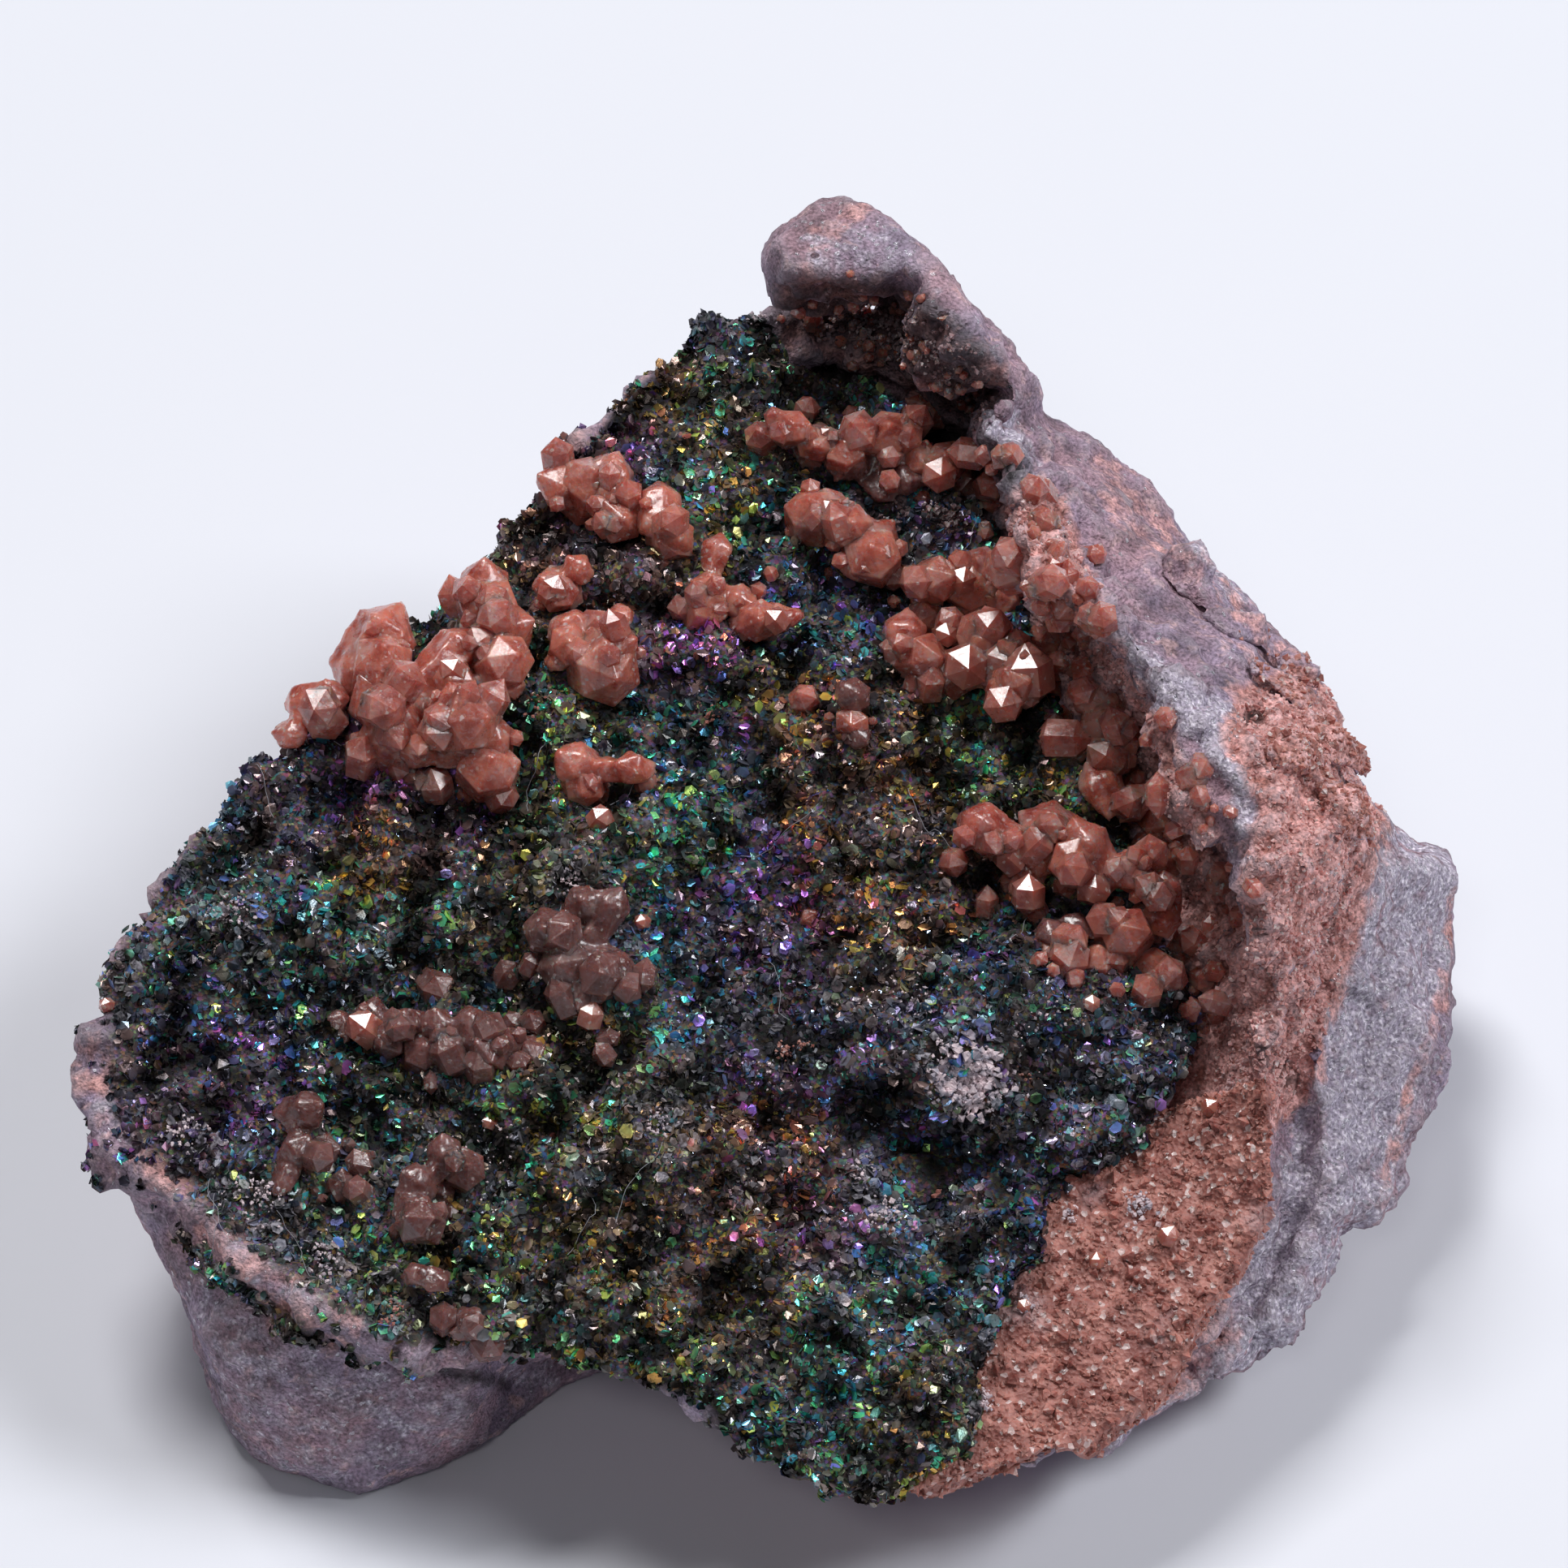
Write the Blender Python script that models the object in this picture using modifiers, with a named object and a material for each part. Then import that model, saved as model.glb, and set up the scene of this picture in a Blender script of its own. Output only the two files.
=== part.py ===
"""Iridescent hematite: a small specimen with a shallow open pocket.

The matrix is a mauve-brown rock with a high rim on its right side. On its sloping top
lies a crust of iridescent hematite, a band of red quartz crops out below the crust at
the lower right, and clusters of red quartz crystals stand on the crust and on the rim.
Run it with: blender --background --python part.py
"""

import math

import bmesh
import bpy
from mathutils import Euler, Matrix, Vector, noise

# Driving sizes, in millimetres
MM = 0.001
GAP = 0.35

# The seed of the noise, which decides every lump of the rock and the lean of every crystal
NOISE_SEED = 1795633523

# The sloping face on which the crust lies, and the middles of the face and of the foot
FACE_HEIGHT = 11.4
FACE_SLOPE = 0.257
FLOOR_SHARES = (0.25, 0.5, 0.7, 0.88)
POCKET_CENTRE = (-4.0, -4.0)
BOTTOM_CENTRE = (-1.0, -4.0)
LEDGE = 0.8
TOE_SHARE = 0.93

# The rock: its sections round, its lumps, the size and share of its facets, its depth
SEGMENTS = 66
ROCK_LUMPS = 0.65
ROCK_GRAIN = 0.5
ROCK_FACETS_KEPT = 0.047
ROOT_DEPTH = 1.2

# The crust: its thickness, its relief, its facets and the block that it is cut from
CRUST_THICKNESS = 1.25
CRUST_THINNEST = 0.45
CRUST_SWELL = 0.7
CRUST_RELIEF = 0.6
CRUST_FACET = 1.6
CRUST_REACH = 27.0
BLOCK_BOTTOM = -4.0
PRISM_TOP = 30.0

# The outline of the rock at stations counted anticlockwise from the front tip. Each has
# the edge of the crust (x, y), then the crest, the shoulder and the widest part of the
# wall (x, y, z), and the foot of the wall on the ground (x, y).
STATIONS = [
    ((2.3, -23.9), (2.5, -24.3, 5.2), (2.4, -22.8, 3.7), (1.8, -19.6, 3.2), (0.8, -12.5)),
    ((5.4, -22.6), (8.0, -22.2, 5.4), (8.4, -21.0, 3.3), (7.6, -18.5, 2.4), (5.5, -12.5)),
    ((6.1, -20.4), (11.8, -19.8, 5.9), (12.8, -20.2, 3.3), (12.2, -18.5, 2.2), (9.5, -12.0)),
    ((6.8, -17.6), (13.2, -17.6, 7.2), (15.2, -17.6, 4.6), (15.8, -16.2, 2.6), (12.3, -10.8)),
    ((8.9, -13.8), (15.2, -14.8, 8.7), (17.6, -14.6, 5.6), (19.2, -12.2, 3.2), (14.2, -8.6)),
    ((11.6, -11.4), (15.3, -12.4, 10.6), (17.6, -11.4, 7.8), (21.6, -7.2, 4.6), (16.0, -4.8)),
    ((13.2, -9.0), (15.2, -9.0, 14.4), (17.0, -8.0, 12.2), (22.2, -1.8, 5.6), (17.0, 0.0)),
    ((12.6, -6.0), (14.2, -5.6, 17.2), (18.0, -5.0, 14.6), (21.8, 1.2, 5.8), (15.8, 3.0)),
    ((11.6, -3.2), (12.4, -2.7, 18.7), (18.0, -1.2, 14.2), (19.6, 4.4, 6.2), (13.6, 5.6)),
    ((9.8, 0.2), (10.9, 0.2, 19.3), (16.8, 2.6, 13.8), (17.8, 7.4, 7.2), (11.4, 7.8)),
    ((8.2, 3.6), (9.4, 3.6, 19.8), (14.8, 6.6, 13.2), (15.4, 10.6, 7.8), (9.0, 9.6)),
    ((7.2, 7.6), (8.0, 7.4, 20.2), (12.6, 9.8, 14.0), (12.6, 13.0, 8.2), (6.4, 10.8)),
    ((5.6, 11.2), (5.7, 12.0, 20.5), (8.8, 13.4, 16.2), (8.8, 15.4, 9.0), (3.6, 12.0)),
    ((2.8, 13.6), (3.0, 16.6, 20.7), (3.9, 17.8, 18.6), (4.0, 17.4, 10.4), (0.6, 12.8)),
    ((-0.2, 15.0), (0.4, 16.8, 19.2), (-0.2, 17.4, 16.4), (-0.6, 17.0, 9.2), (-2.6, 12.0)),
    ((-2.8, 15.9), (-3.0, 15.8, 15.2), (-3.8, 16.2, 13.2), (-4.4, 15.2, 8.2), (-5.6, 10.2)),
    ((-6.4, 12.3), (-6.3, 12.0, 14.2), (-7.2, 12.0, 11.8), (-8.0, 10.8, 7.0), (-8.4, 7.4)),
    ((-9.7, 7.2), (-9.6, 7.0, 13.1), (-10.8, 7.4, 10.6), (-11.4, 6.6, 6.0), (-10.8, 4.2)),
    ((-13.9, 2.9), (-13.8, 2.7, 12.0), (-14.8, 3.2, 9.4), (-15.2, 2.2, 5.4), (-13.4, 0.6)),
    ((-18.6, -1.8), (-18.3, -2.0, 10.7), (-18.6, -1.8, 8.4), (-18.2, -2.6, 4.6), (-15.4, -3.4)),
    ((-21.1, -5.8), (-20.7, -6.0, 9.7), (-20.4, -5.8, 7.6), (-19.4, -6.6, 4.2), (-16.6, -7.2)),
    ((-22.3, -9.6), (-21.8, -9.8, 8.8), (-21.0, -10.0, 6.8), (-19.8, -10.6, 3.8), (-17.2, -10.8)),
    ((-22.3, -12.0), (-21.5, -12.1, 8.3), (-20.4, -12.9, 6.4), (-19.8, -13.4, 3.6), (-17.8, -13.6)),
    ((-19.4, -14.8), (-19.2, -14.7, 7.6), (-19.8, -14.6, 5.8), (-19.4, -15.2, 3.0), (-18.0, -16.2)),
    ((-16.0, -17.9), (-16.2, -17.8, 6.8), (-17.4, -18.2, 5.2), (-17.2, -18.5, 2.6), (-15.8, -18.4)),
    ((-11.6, -19.5), (-11.8, -19.2, 6.5), (-12.2, -19.4, 5.0), (-12.2, -19.5, 2.8), (-12.0, -18.6)),
    ((-6.6, -19.2), (-6.6, -19.7, 6.4), (-6.8, -19.0, 5.6), (-7.4, -18.0, 4.0), (-8.2, -15.8)),
    ((-2.4, -21.0), (-2.3, -21.5, 5.9), (-2.6, -20.4, 4.4), (-3.0, -18.0, 4.0), (-4.2, -12.6)),
]

# The stations of the high rim, and how far it overhangs
RIM_STATIONS = (6.0, 14.0)
RIM_CAVE = 1.6

# The quartz band: its stations, its thickness, its edges and the room below it
BAND_STATIONS = (-2.0, 5.3)
BAND_THICKNESS = 1.2
BAND_INNER_EDGE = 0.74
BAND_SPLIT = 0.35
BAND_CLEARANCE = 0.6

# Benches (positive) and hollows (negative) of the crust: x, y, half width, half depth, height
FORMS = [
    (6.6, -8.6, 5.0, 2.2, 1.5),
    (3.2, -13.2, 4.2, 1.3, -1.3),
    (-6.2, -4.4, 2.2, 1.6, 0.9),
    (-2.4, 1.2, 3.6, 1.1, -1.1),
    (1.6, 1.8, 2.6, 1.8, 0.8),
    (-11.0, -8.6, 4.5, 1.4, -0.6),
    (-12.5, 1.2, 3.0, 2.2, 0.5),
    (4.6, 9.8, 2.6, 1.8, -0.9),
    (-3.5, -14.0, 3.5, 2.0, 0.6),
    (6.8, 4.2, 2.0, 1.0, -0.8),
]

# Quartz crystals standing on the crust: x, y, radius
CLUSTERS = {
    "quartz_left": [
        (-13.2, 3.0, 1.30),
        (-12.5, 0.9, 1.30),
        (-10.8, 2.7, 1.00),
        (-10.4, 0.9, 1.20),
        (-9.5, -0.4, 1.05),
        (-11.8, -0.5, 0.75),
        (-9.1, 2.9, 0.80),
        (-9.3, 4.0, 1.10),
        (-9.7, 5.4, 1.05),
    ],
    "quartz_left_edge": [(-15.0, 1.3, 0.85), (-15.9, 0.5, 0.60)],
    "quartz_saddle": [
        (-6.9, 9.3, 1.05),
        (-5.8, 9.4, 0.95),
        (-5.5, 8.4, 0.95),
        (-4.0, 7.9, 0.90),
    ],
    "quartz_pale_pair": [(-7.4, 5.8, 0.70), (-6.5, 6.0, 0.65)],
    "quartz_middle": [
        (-6.9, 4.1, 0.60),
        (-7.0, 3.1, 0.65),
        (-5.8, 3.0, 1.05),
        (-5.1, 4.4, 0.55),
    ],
    "quartz_centre": [
        (-2.2, 6.6, 0.65),
        (-2.2, 5.4, 0.75),
        (-1.2, 5.1, 0.75),
        (-0.4, 4.7, 0.70),
        (0.3, 4.5, 0.50),
    ],
    "quartz_top_row": [
        (0.1, 11.0, 0.70),
        (1.0, 11.0, 0.65),
        (2.0, 10.4, 0.75),
        (3.4, 11.1, 0.85),
        (3.1, 9.9, 0.70),
        (4.3, 10.1, 0.70),
        (5.2, 10.3, 0.80),
    ],
    "quartz_top": [
        (0.9, 8.6, 0.75),
        (1.6, 8.2, 0.85),
        (2.7, 7.1, 1.05),
        (2.2, 8.0, 0.70),
    ],
    "quartz_top_right": [
        (4.7, 5.9, 0.60),
        (5.7, 6.1, 0.90),
        (6.6, 6.4, 0.75),
    ],
    "quartz_right_upper": [
        (3.9, 3.4, 0.85),
        (5.2, 4.0, 0.60),
        (7.0, 3.9, 1.00),
        (5.9, 2.9, 0.80),
        (7.8, 2.6, 0.90),
        (7.2, 1.6, 0.85),
    ],
    "quartz_rim_corner": [
        (10.3, 1.6, 1.00),
        (10.8, 0.2, 0.80),
        (10.4, -1.4, 0.95),
    ],
    "quartz_right": [
        (6.3, -3.0, 1.00),
        (7.4, -3.5, 0.75),
        (7.8, -4.4, 0.75),
        (8.9, -2.9, 1.10),
        (9.8, -4.2, 1.05),
        (11.3, -4.5, 0.85),
        (12.1, -5.2, 0.80),
    ],
    "quartz_right_lower": [(8.5, -6.4, 0.80), (9.5, -6.3, 0.60), (10.5, -6.0, 0.80)],
    "quartz_lower_middle": [
        (-7.3, -6.6, 0.95),
        (-6.3, -5.7, 0.70),
        (-5.6, -6.1, 0.75),
        (-6.7, -7.4, 0.75),
        (-5.5, -7.6, 0.85),
        (-5.9, -8.6, 0.50),
    ],
    "quartz_pair": [(-6.4, -0.8, 0.85), (-4.6, -0.9, 0.70), (-5.5, -0.6, 0.45)],
    "quartz_row": [
        (-14.0, -9.2, 0.60),
        (-13.0, -9.0, 0.75),
        (-11.8, -9.2, 0.80),
        (-10.9, -9.5, 0.65),
        (-9.8, -9.7, 0.65),
        (-8.8, -10.0, 0.60),
    ],
    "quartz_lower_left": [(-15.2, -12.4, 0.75), (-15.3, -13.6, 0.70), (-15.6, -14.3, 0.60)],
    "quartz_lower_pair": [(-10.6, -13.7, 0.70), (-11.6, -15.3, 0.85), (-11.3, -14.5, 0.65)],
    "quartz_front_left": [(-10.6, -18.0, 0.70), (-11.5, -17.6, 0.50)],
    "quartz_dusty": [(2.2, 1.2, 0.70), (2.5, 0.0, 0.55)],
}

# Blunt crystals of the red vein on the end of the rim: x, y, z, radius
RIM_VEIN = [
    (12.9, 4.8, 16.2, 1.10),
    (14.3, 2.8, 15.8, 1.20),
    (16.0, 2.0, 14.6, 1.10),
    (15.4, 0.0, 16.0, 1.30),
    (17.4, -1.4, 14.8, 1.30),
    (16.0, -3.2, 16.6, 1.20),
    (17.6, -4.4, 15.2, 1.30),
    (16.8, -6.4, 14.6, 1.20),
    (16.9, -8.0, 12.8, 1.20),
    (16.8, -9.8, 11.2, 1.10),
]

# Rough boulders fused to the rock: centre and half sizes
ROCK_BOULDERS = [
    ((1.7, 16.2, 19.4), (2.0, 1.9, 1.9)),
    ((4.9, 12.4, 19.3), (1.3, 2.2, 1.4)),
    ((13.2, -4.4, 17.0), (1.4, 1.7, 1.3)),
]

# Clusters that lean on the rim as well as on the crust
ON_THE_RIM = ("quartz_rim_corner", "quartz_right", "quartz_top_row", "quartz_right_upper")

# How high crystals stand in radii, the margin of their seat, and what counts as flat or apart
CRYSTAL_RISE = 0.35
SEAT_MARGIN = 1.2
FLAT_DEGREES = 2.0
ROOT_SPACING = 0.62

COLOURS = {
    "matrix": ((0.33, 0.24, 0.26), 0.85, 0.0),
    "hematite_crust": ((0.05, 0.07, 0.07), 0.35, 0.8),
    "red_quartz_band": ((0.50, 0.22, 0.17), 0.45, 0.0),
    "quartz": ((0.55, 0.24, 0.17), 0.35, 0.0),
}


def remove_everything():
    """Empties the scene."""
    for obj in list(bpy.data.objects):
        bpy.data.objects.remove(obj)


def material(name, kind):
    """A Principled material with the colour, roughness and metallic value of its kind."""
    colour, roughness, metallic = COLOURS[kind]
    made = bpy.data.materials.new(name)
    made.use_nodes = True
    shader = made.node_tree.nodes["Principled BSDF"]
    shader.inputs["Base Color"].default_value = (*colour, 1.0)
    shader.inputs["Roughness"].default_value = roughness
    shader.inputs["Metallic"].default_value = metallic
    return made


def smooth_step(low, high, value):
    """0 below low, 1 above high, and a smooth rise between them."""
    share = min(1.0, max(0.0, (value - low) / (high - low)))
    return share * share * (3.0 - 2.0 * share)


def floor_height(y):
    """Height of the sloping plane on which the crust lies."""
    return FACE_HEIGHT + FACE_SLOPE * y


def crust_height(x, y):
    """Height of the top of the crust, with its benches, hollows and lumps."""
    thickness = CRUST_THICKNESS
    thickness += CRUST_SWELL * math.exp(-((x + 3.0) ** 2 + (y + 3.0) ** 2) / 150.0)
    for form_x, form_y, half_width, half_depth, rise in FORMS:
        away = ((x - form_x) / half_width) ** 2 + ((y - form_y) / half_depth) ** 2
        thickness += rise * math.exp(-away * away)
    broad = noise.noise(Vector((x, y, 3.0)) * 0.38)
    fine = noise.noise(Vector((x, y, 9.0)) * 0.8)
    thickness += CRUST_RELIEF * (broad + fine)
    return floor_height(y) + GAP + max(CRUST_THINNEST, thickness)


def spline(points, place):
    """A point on the closed Catmull-Rom curve through points, at a whole or part station."""
    count = len(points)
    first = math.floor(place)
    t = place - first
    a, b, c, d = (Vector(points[(first + step) % count]) for step in (-1, 0, 1, 2))
    return 0.5 * (
        2.0 * b
        + (c - a) * t
        + (2.0 * a - 5.0 * b + 4.0 * c - d) * t * t
        + (3.0 * b - a - 3.0 * c + d) * t * t * t
    )


def outline(which, place):
    """A point of one of the station outlines: 0 crust, 1 crest, 2 shoulder, 3 wall, 4 foot."""
    return spline([(*station[which], 0.0)[:3] for station in STATIONS], place)


def share_between(place, span, ramp):
    """1 for a station inside the span, falling to 0 over a ramp outside it."""
    count = len(STATIONS)
    middle = (span[0] + span[1]) / 2.0
    half = (span[1] - span[0]) / 2.0
    away = abs((place - middle + count / 2.0) % count - count / 2.0)
    return 1.0 - smooth_step(half, half + ramp, away)


def rock_bump(point, amount):
    """The point, moved by lumpy rock noise that fades out towards the ground."""
    broad = noise.noise_vector(point * 0.16) * 1.6
    fine = noise.noise_vector(point * 0.55)
    return point + (broad + fine) * amount


def face_point(place, share):
    """A point of the floor at a share of the way from the pocket's centre to the crust's edge."""
    point = Vector((*POCKET_CENTRE, 0.0)).lerp(outline(0, place), share)
    point.z = floor_height(point.y)
    return point


def band_point(place, share):
    """A point of the top of the red band, from under the crust's edge to the crest."""
    if share > BAND_SPLIT:
        outer = (share - BAND_SPLIT) / (1.0 - BAND_SPLIT)
        return face_point(place, 1.0).lerp(outline(1, place), outer)
    return face_point(place, BAND_INNER_EDGE + (1.0 - BAND_INNER_EDGE) * share / BAND_SPLIT)


def rock_profile(place):
    """The rock's section at a station, from the pocket's centre over the crest to the bottom."""
    edge, crest, shoulder, wall, foot = (outline(which, place) for which in range(5))
    foot.z = -ROOT_DEPTH
    edge.z = floor_height(edge.y)
    away = Vector((edge.x - POCKET_CENTRE[0], edge.y - POCKET_CENTRE[1], 0.0)).normalized()
    rim = share_between(place, RIM_STATIONS, 1.0)
    band = share_between(place, BAND_STATIONS, 1.0)
    sunk = Vector((0.0, 0.0, -(BAND_THICKNESS + BAND_CLEARANCE) * band))
    toe = face_point(place, TOE_SHARE).lerp(edge, max(rim, band)) + away * LEDGE * rim
    inner = [face_point(place, share) for share in FLOOR_SHARES[:2]]
    inner += [face_point(place, share) + sunk for share in FLOOR_SHARES[2:]]
    recess = toe.lerp(crest, 0.5) + away * RIM_CAVE * rim
    lip = toe.lerp(crest, 0.8) + away * 0.3 * RIM_CAVE * rim
    upper = [toe + sunk, recess + sunk, lip + sunk, crest + sunk]
    swell = Vector((0.0, 0.0, 0.5)) * rim
    slope = [crest.lerp(shoulder, 0.5) + swell + sunk * 0.8, shoulder]
    side = [shoulder.lerp(wall, 0.33), shoulder.lerp(wall, 0.67), wall]
    low = [wall.lerp(foot, 0.35), wall.lerp(foot, 0.7), foot]
    under = [foot.lerp(Vector((*BOTTOM_CENTRE, foot.z)), 0.4)]
    edge_rough = (0.3 + 0.7 * rim) * (1.0 - 0.6 * band)
    rough = [0.0] * 4 + [0.3 * rim, rim, rim, edge_rough] + [1.0] * 9
    points = inner + upper + slope + side + low + under
    return [rock_bump(point, ROCK_LUMPS * amount) for point, amount in zip(points, rough)]


def add_pole(mesh, ring, point, upward):
    """Closes a ring of vertices with a fan of triangles round one point."""
    pole = mesh.verts.new(point * MM)
    for index, vertex in enumerate(ring):
        after = ring[(index + 1) % len(ring)]
        corners = (pole, vertex, after) if upward else (pole, after, vertex)
        mesh.faces.new(corners)


def add_rings(mesh, rings):
    """Joins rings of points, listed from the inside of the top to the bottom."""
    made = [[mesh.verts.new(point * MM) for point in ring] for ring in rings]
    for inner, outer in zip(made, made[1:]):
        count = len(inner)
        for index in range(count):
            after = (index + 1) % count
            mesh.faces.new((inner[index], outer[index], outer[after], inner[after]))
    return made


def solid(name, mesh, kind):
    """A mesh object in the specimen's collection, with its faces turned outwards."""
    bmesh.ops.triangulate(mesh, faces=mesh.faces)
    bmesh.ops.recalc_face_normals(mesh, faces=mesh.faces)
    data = bpy.data.meshes.new(name)
    mesh.to_mesh(data)
    mesh.free()
    made = bpy.data.objects.new(name, data)
    made.data.materials.append(material(name, kind))
    bpy.data.collections["specimen"].objects.link(made)
    return made


def helper(made):
    """Turns an object into a cutter or a guide, kept out of the model."""
    made.hide_render = True
    made.display_type = "WIRE"
    bpy.data.collections["specimen"].objects.unlink(made)
    bpy.data.collections["cutters"].objects.link(made)
    return made


def places_round():
    """Every place round the stations that gets a section."""
    step = len(STATIONS) / SEGMENTS
    return [index * step for index in range(SEGMENTS)]


def make_matrix():
    """The rock: its floor, its high rim, its walls and its flat resting face."""
    sections = [rock_profile(place) for place in places_round()]
    mesh = bmesh.new()
    rings = add_rings(mesh, [list(ring) for ring in zip(*sections)])
    x, y = POCKET_CENTRE
    add_pole(mesh, rings[0], Vector((x, y, floor_height(y))), True)
    add_pole(mesh, rings[-1], Vector((*BOTTOM_CENTRE, -ROOT_DEPTH)), False)
    made = solid("matrix", mesh, "matrix")
    for index, (place, radii) in enumerate(ROCK_BOULDERS):
        fuse = made.modifiers.new("boulder", "BOOLEAN")
        fuse.operation = "UNION"
        fuse.object = helper(rock_lump(f"boulder_{index}", place, radii))
        fuse.use_self = True
    refine(made)
    broken = made.modifiers.new("broken faces", "DECIMATE")
    broken.ratio = ROCK_FACETS_KEPT
    ground = made.modifiers.new("flat resting face", "BOOLEAN")
    ground.operation = "DIFFERENCE"
    ground.object = make_ground()
    return settle(made)


def refine(made):
    """Fuses a shape into one skin of small even faces."""
    fuse = made.modifiers.new("fuse into one skin", "REMESH")
    fuse.mode = "VOXEL"
    fuse.voxel_size = ROCK_GRAIN * MM
    return fuse


def make_ground():
    """A block whose top is the ground, which cuts the flat resting face."""
    mesh = bmesh.new()
    bmesh.ops.create_cube(mesh, size=80.0 * MM)
    bmesh.ops.translate(mesh, vec=(0.0, 0.0, -40.0 * MM), verts=mesh.verts)
    return helper(solid("ground", mesh, "matrix"))


def facet_block(name, lift):
    """A block whose top is the crust's height, in jittered facets, and whose bottom is low."""
    mesh = bmesh.new()
    count = round(2.0 * CRUST_REACH / CRUST_FACET)
    size = CRUST_REACH * MM
    bmesh.ops.create_grid(mesh, x_segments=count, y_segments=count, size=size)
    top = list(mesh.verts)
    extruded = bmesh.ops.extrude_face_region(mesh, geom=mesh.faces[:])
    low = [item for item in extruded["geom"] if isinstance(item, bmesh.types.BMVert)]
    for vertex in low:
        vertex.co.z = BLOCK_BOTTOM * MM
    for vertex in top:
        x, y = vertex.co.x / MM, vertex.co.y / MM
        x += CRUST_FACET * 0.7 * noise.noise(Vector((x, y, 20.0)) * 0.9)
        y += CRUST_FACET * 0.7 * noise.noise(Vector((x, y, 30.0)) * 0.9)
        vertex.co = Vector((x, y, crust_height(x, y) + lift)) * MM
    return solid(name, mesh, "hematite_crust")


def outline_prism(name, bottom, margin=0.0):
    """An upright prism of the crust's outline; without a bottom it starts at the gap."""
    low, high = [], []
    for place in places_round():
        point = outline(0, place)
        point += (point - Vector((*POCKET_CENTRE, 0.0))).normalized() * margin
        start = floor_height(point.y) + GAP if bottom is None else bottom
        low.append(Vector((point.x, point.y, start)))
        high.append(Vector((point.x, point.y, PRISM_TOP)))
    mesh = bmesh.new()
    floor, roof = add_rings(mesh, [low, high])
    mesh.faces.new(floor)
    mesh.faces.new(roof)
    return solid(name, mesh, "hematite_crust")


def make_crust():
    """The hematite crust: facets cut to its outline, on a flat underside."""
    made = facet_block("hematite_crust", 0.0)
    trim = made.modifiers.new("cut to its outline", "BOOLEAN")
    trim.operation = "INTERSECT"
    trim.object = helper(outline_prism("crust_outline", None))
    return settle(made)


def make_crust_seat():
    """All that lies below the crust's top and a gap above it, to cut crystals with."""
    made = facet_block("crust_seat", GAP)
    trim = made.modifiers.new("cut to its outline", "BOOLEAN")
    trim.operation = "INTERSECT"
    trim.object = helper(outline_prism("seat_outline", 0.0, SEAT_MARGIN))
    return helper(settle(made))


def rock_lump(name, place, radii):
    """A rough boulder that is fused to the rock."""
    mesh = bmesh.new()
    bmesh.ops.create_icosphere(mesh, subdivisions=2, radius=1.0)
    for vertex in mesh.verts:
        point = Vector([vertex.co[i] * radii[i] for i in range(3)]) + Vector(place)
        bump = noise.noise_vector(point * 0.7) * 0.55
        vertex.co = (point + bump) * MM
    return solid(name, mesh, "matrix")


def make_band():
    """The band of red quartz that crops out between the crust and the lower right edge."""
    steps = round((BAND_STATIONS[1] - BAND_STATIONS[0]) * 2.5)
    span = BAND_STATIONS[1] - BAND_STATIONS[0]
    places = [BAND_STATIONS[0] + span * index / steps for index in range(steps + 1)]
    shares = [0.0, 0.25, BAND_SPLIT, 0.48, 0.61, 0.74, 0.87, 1.0]
    mesh = bmesh.new()
    sheets = []
    for drop in (0.0, BAND_THICKNESS):
        sheet = []
        for place in places:
            row = []
            for share in shares:
                point = band_point(place, share)
                grain = noise.noise(point * 1.1) * 0.35 * smooth_step(0.35, 0.5, share)
                point.z += grain - drop if drop == 0.0 else -drop
                row.append(mesh.verts.new(point * MM))
            sheet.append(row)
        sheets.append(sheet)
    top, under = sheets
    for i in range(len(places) - 1):
        for j in range(len(shares) - 1):
            mesh.faces.new((top[i][j], top[i][j + 1], top[i + 1][j + 1], top[i + 1][j]))
            mesh.faces.new((under[i][j], under[i + 1][j], under[i + 1][j + 1], under[i][j + 1]))
    for j in range(len(shares) - 1):
        for i in (0, len(places) - 1):
            mesh.faces.new((top[i][j], top[i][j + 1], under[i][j + 1], under[i][j]))
    for i in range(len(places) - 1):
        for j in (0, len(shares) - 1):
            mesh.faces.new((top[i][j], top[i + 1][j], under[i + 1][j], under[i][j]))
    return solid("red_quartz_band", mesh, "red_quartz_band")


def crystal(name, place, radius, length=1.5):
    """A six-sided quartz crystal with a point at each end, turned by where it stands."""
    mesh = bmesh.new()
    bmesh.ops.create_uvsphere(mesh, u_segments=6, v_segments=3, radius=radius * MM)
    seed = Vector(place) * 0.73
    lean, nod, spin = noise.noise_vector(seed + Vector((0.31, 0.17, 0.53))) * 2.2
    turn = Euler((lean, nod, 3.0 * spin)).to_matrix().to_4x4()
    stretch = Matrix.Diagonal((1.0, 1.0, length, 1.0))
    move = Matrix.Translation(Vector(place) * MM)
    bmesh.ops.transform(mesh, matrix=move @ turn @ stretch, verts=mesh.verts)
    return solid(name, mesh, "quartz")


def root(name, first, second):
    """A low body between two crystals, from which both have grown."""
    start, end = Vector(first[:3]), Vector(second[:3])
    along = (end - start).normalized()
    radius = 0.7 * (first[3] + second[3]) / 2.0
    mesh = bmesh.new()
    bmesh.ops.create_cone(
        mesh,
        cap_ends=True,
        segments=4,
        radius1=radius * MM,
        radius2=radius * MM,
        depth=(end - start).length * MM,
    )
    turn = along.to_track_quat("Z", "Y").to_matrix().to_4x4()
    move = Matrix.Translation((start + end) / 2.0 * MM)
    bmesh.ops.transform(mesh, matrix=move @ turn, verts=mesh.verts)
    return solid(name, mesh, "quartz")


def cut(made, seat):
    """Takes away from a solid what lies inside its seat."""
    clear = made.modifiers.new("clear of its seat", "BOOLEAN")
    clear.operation = "DIFFERENCE"
    clear.object = seat


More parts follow.
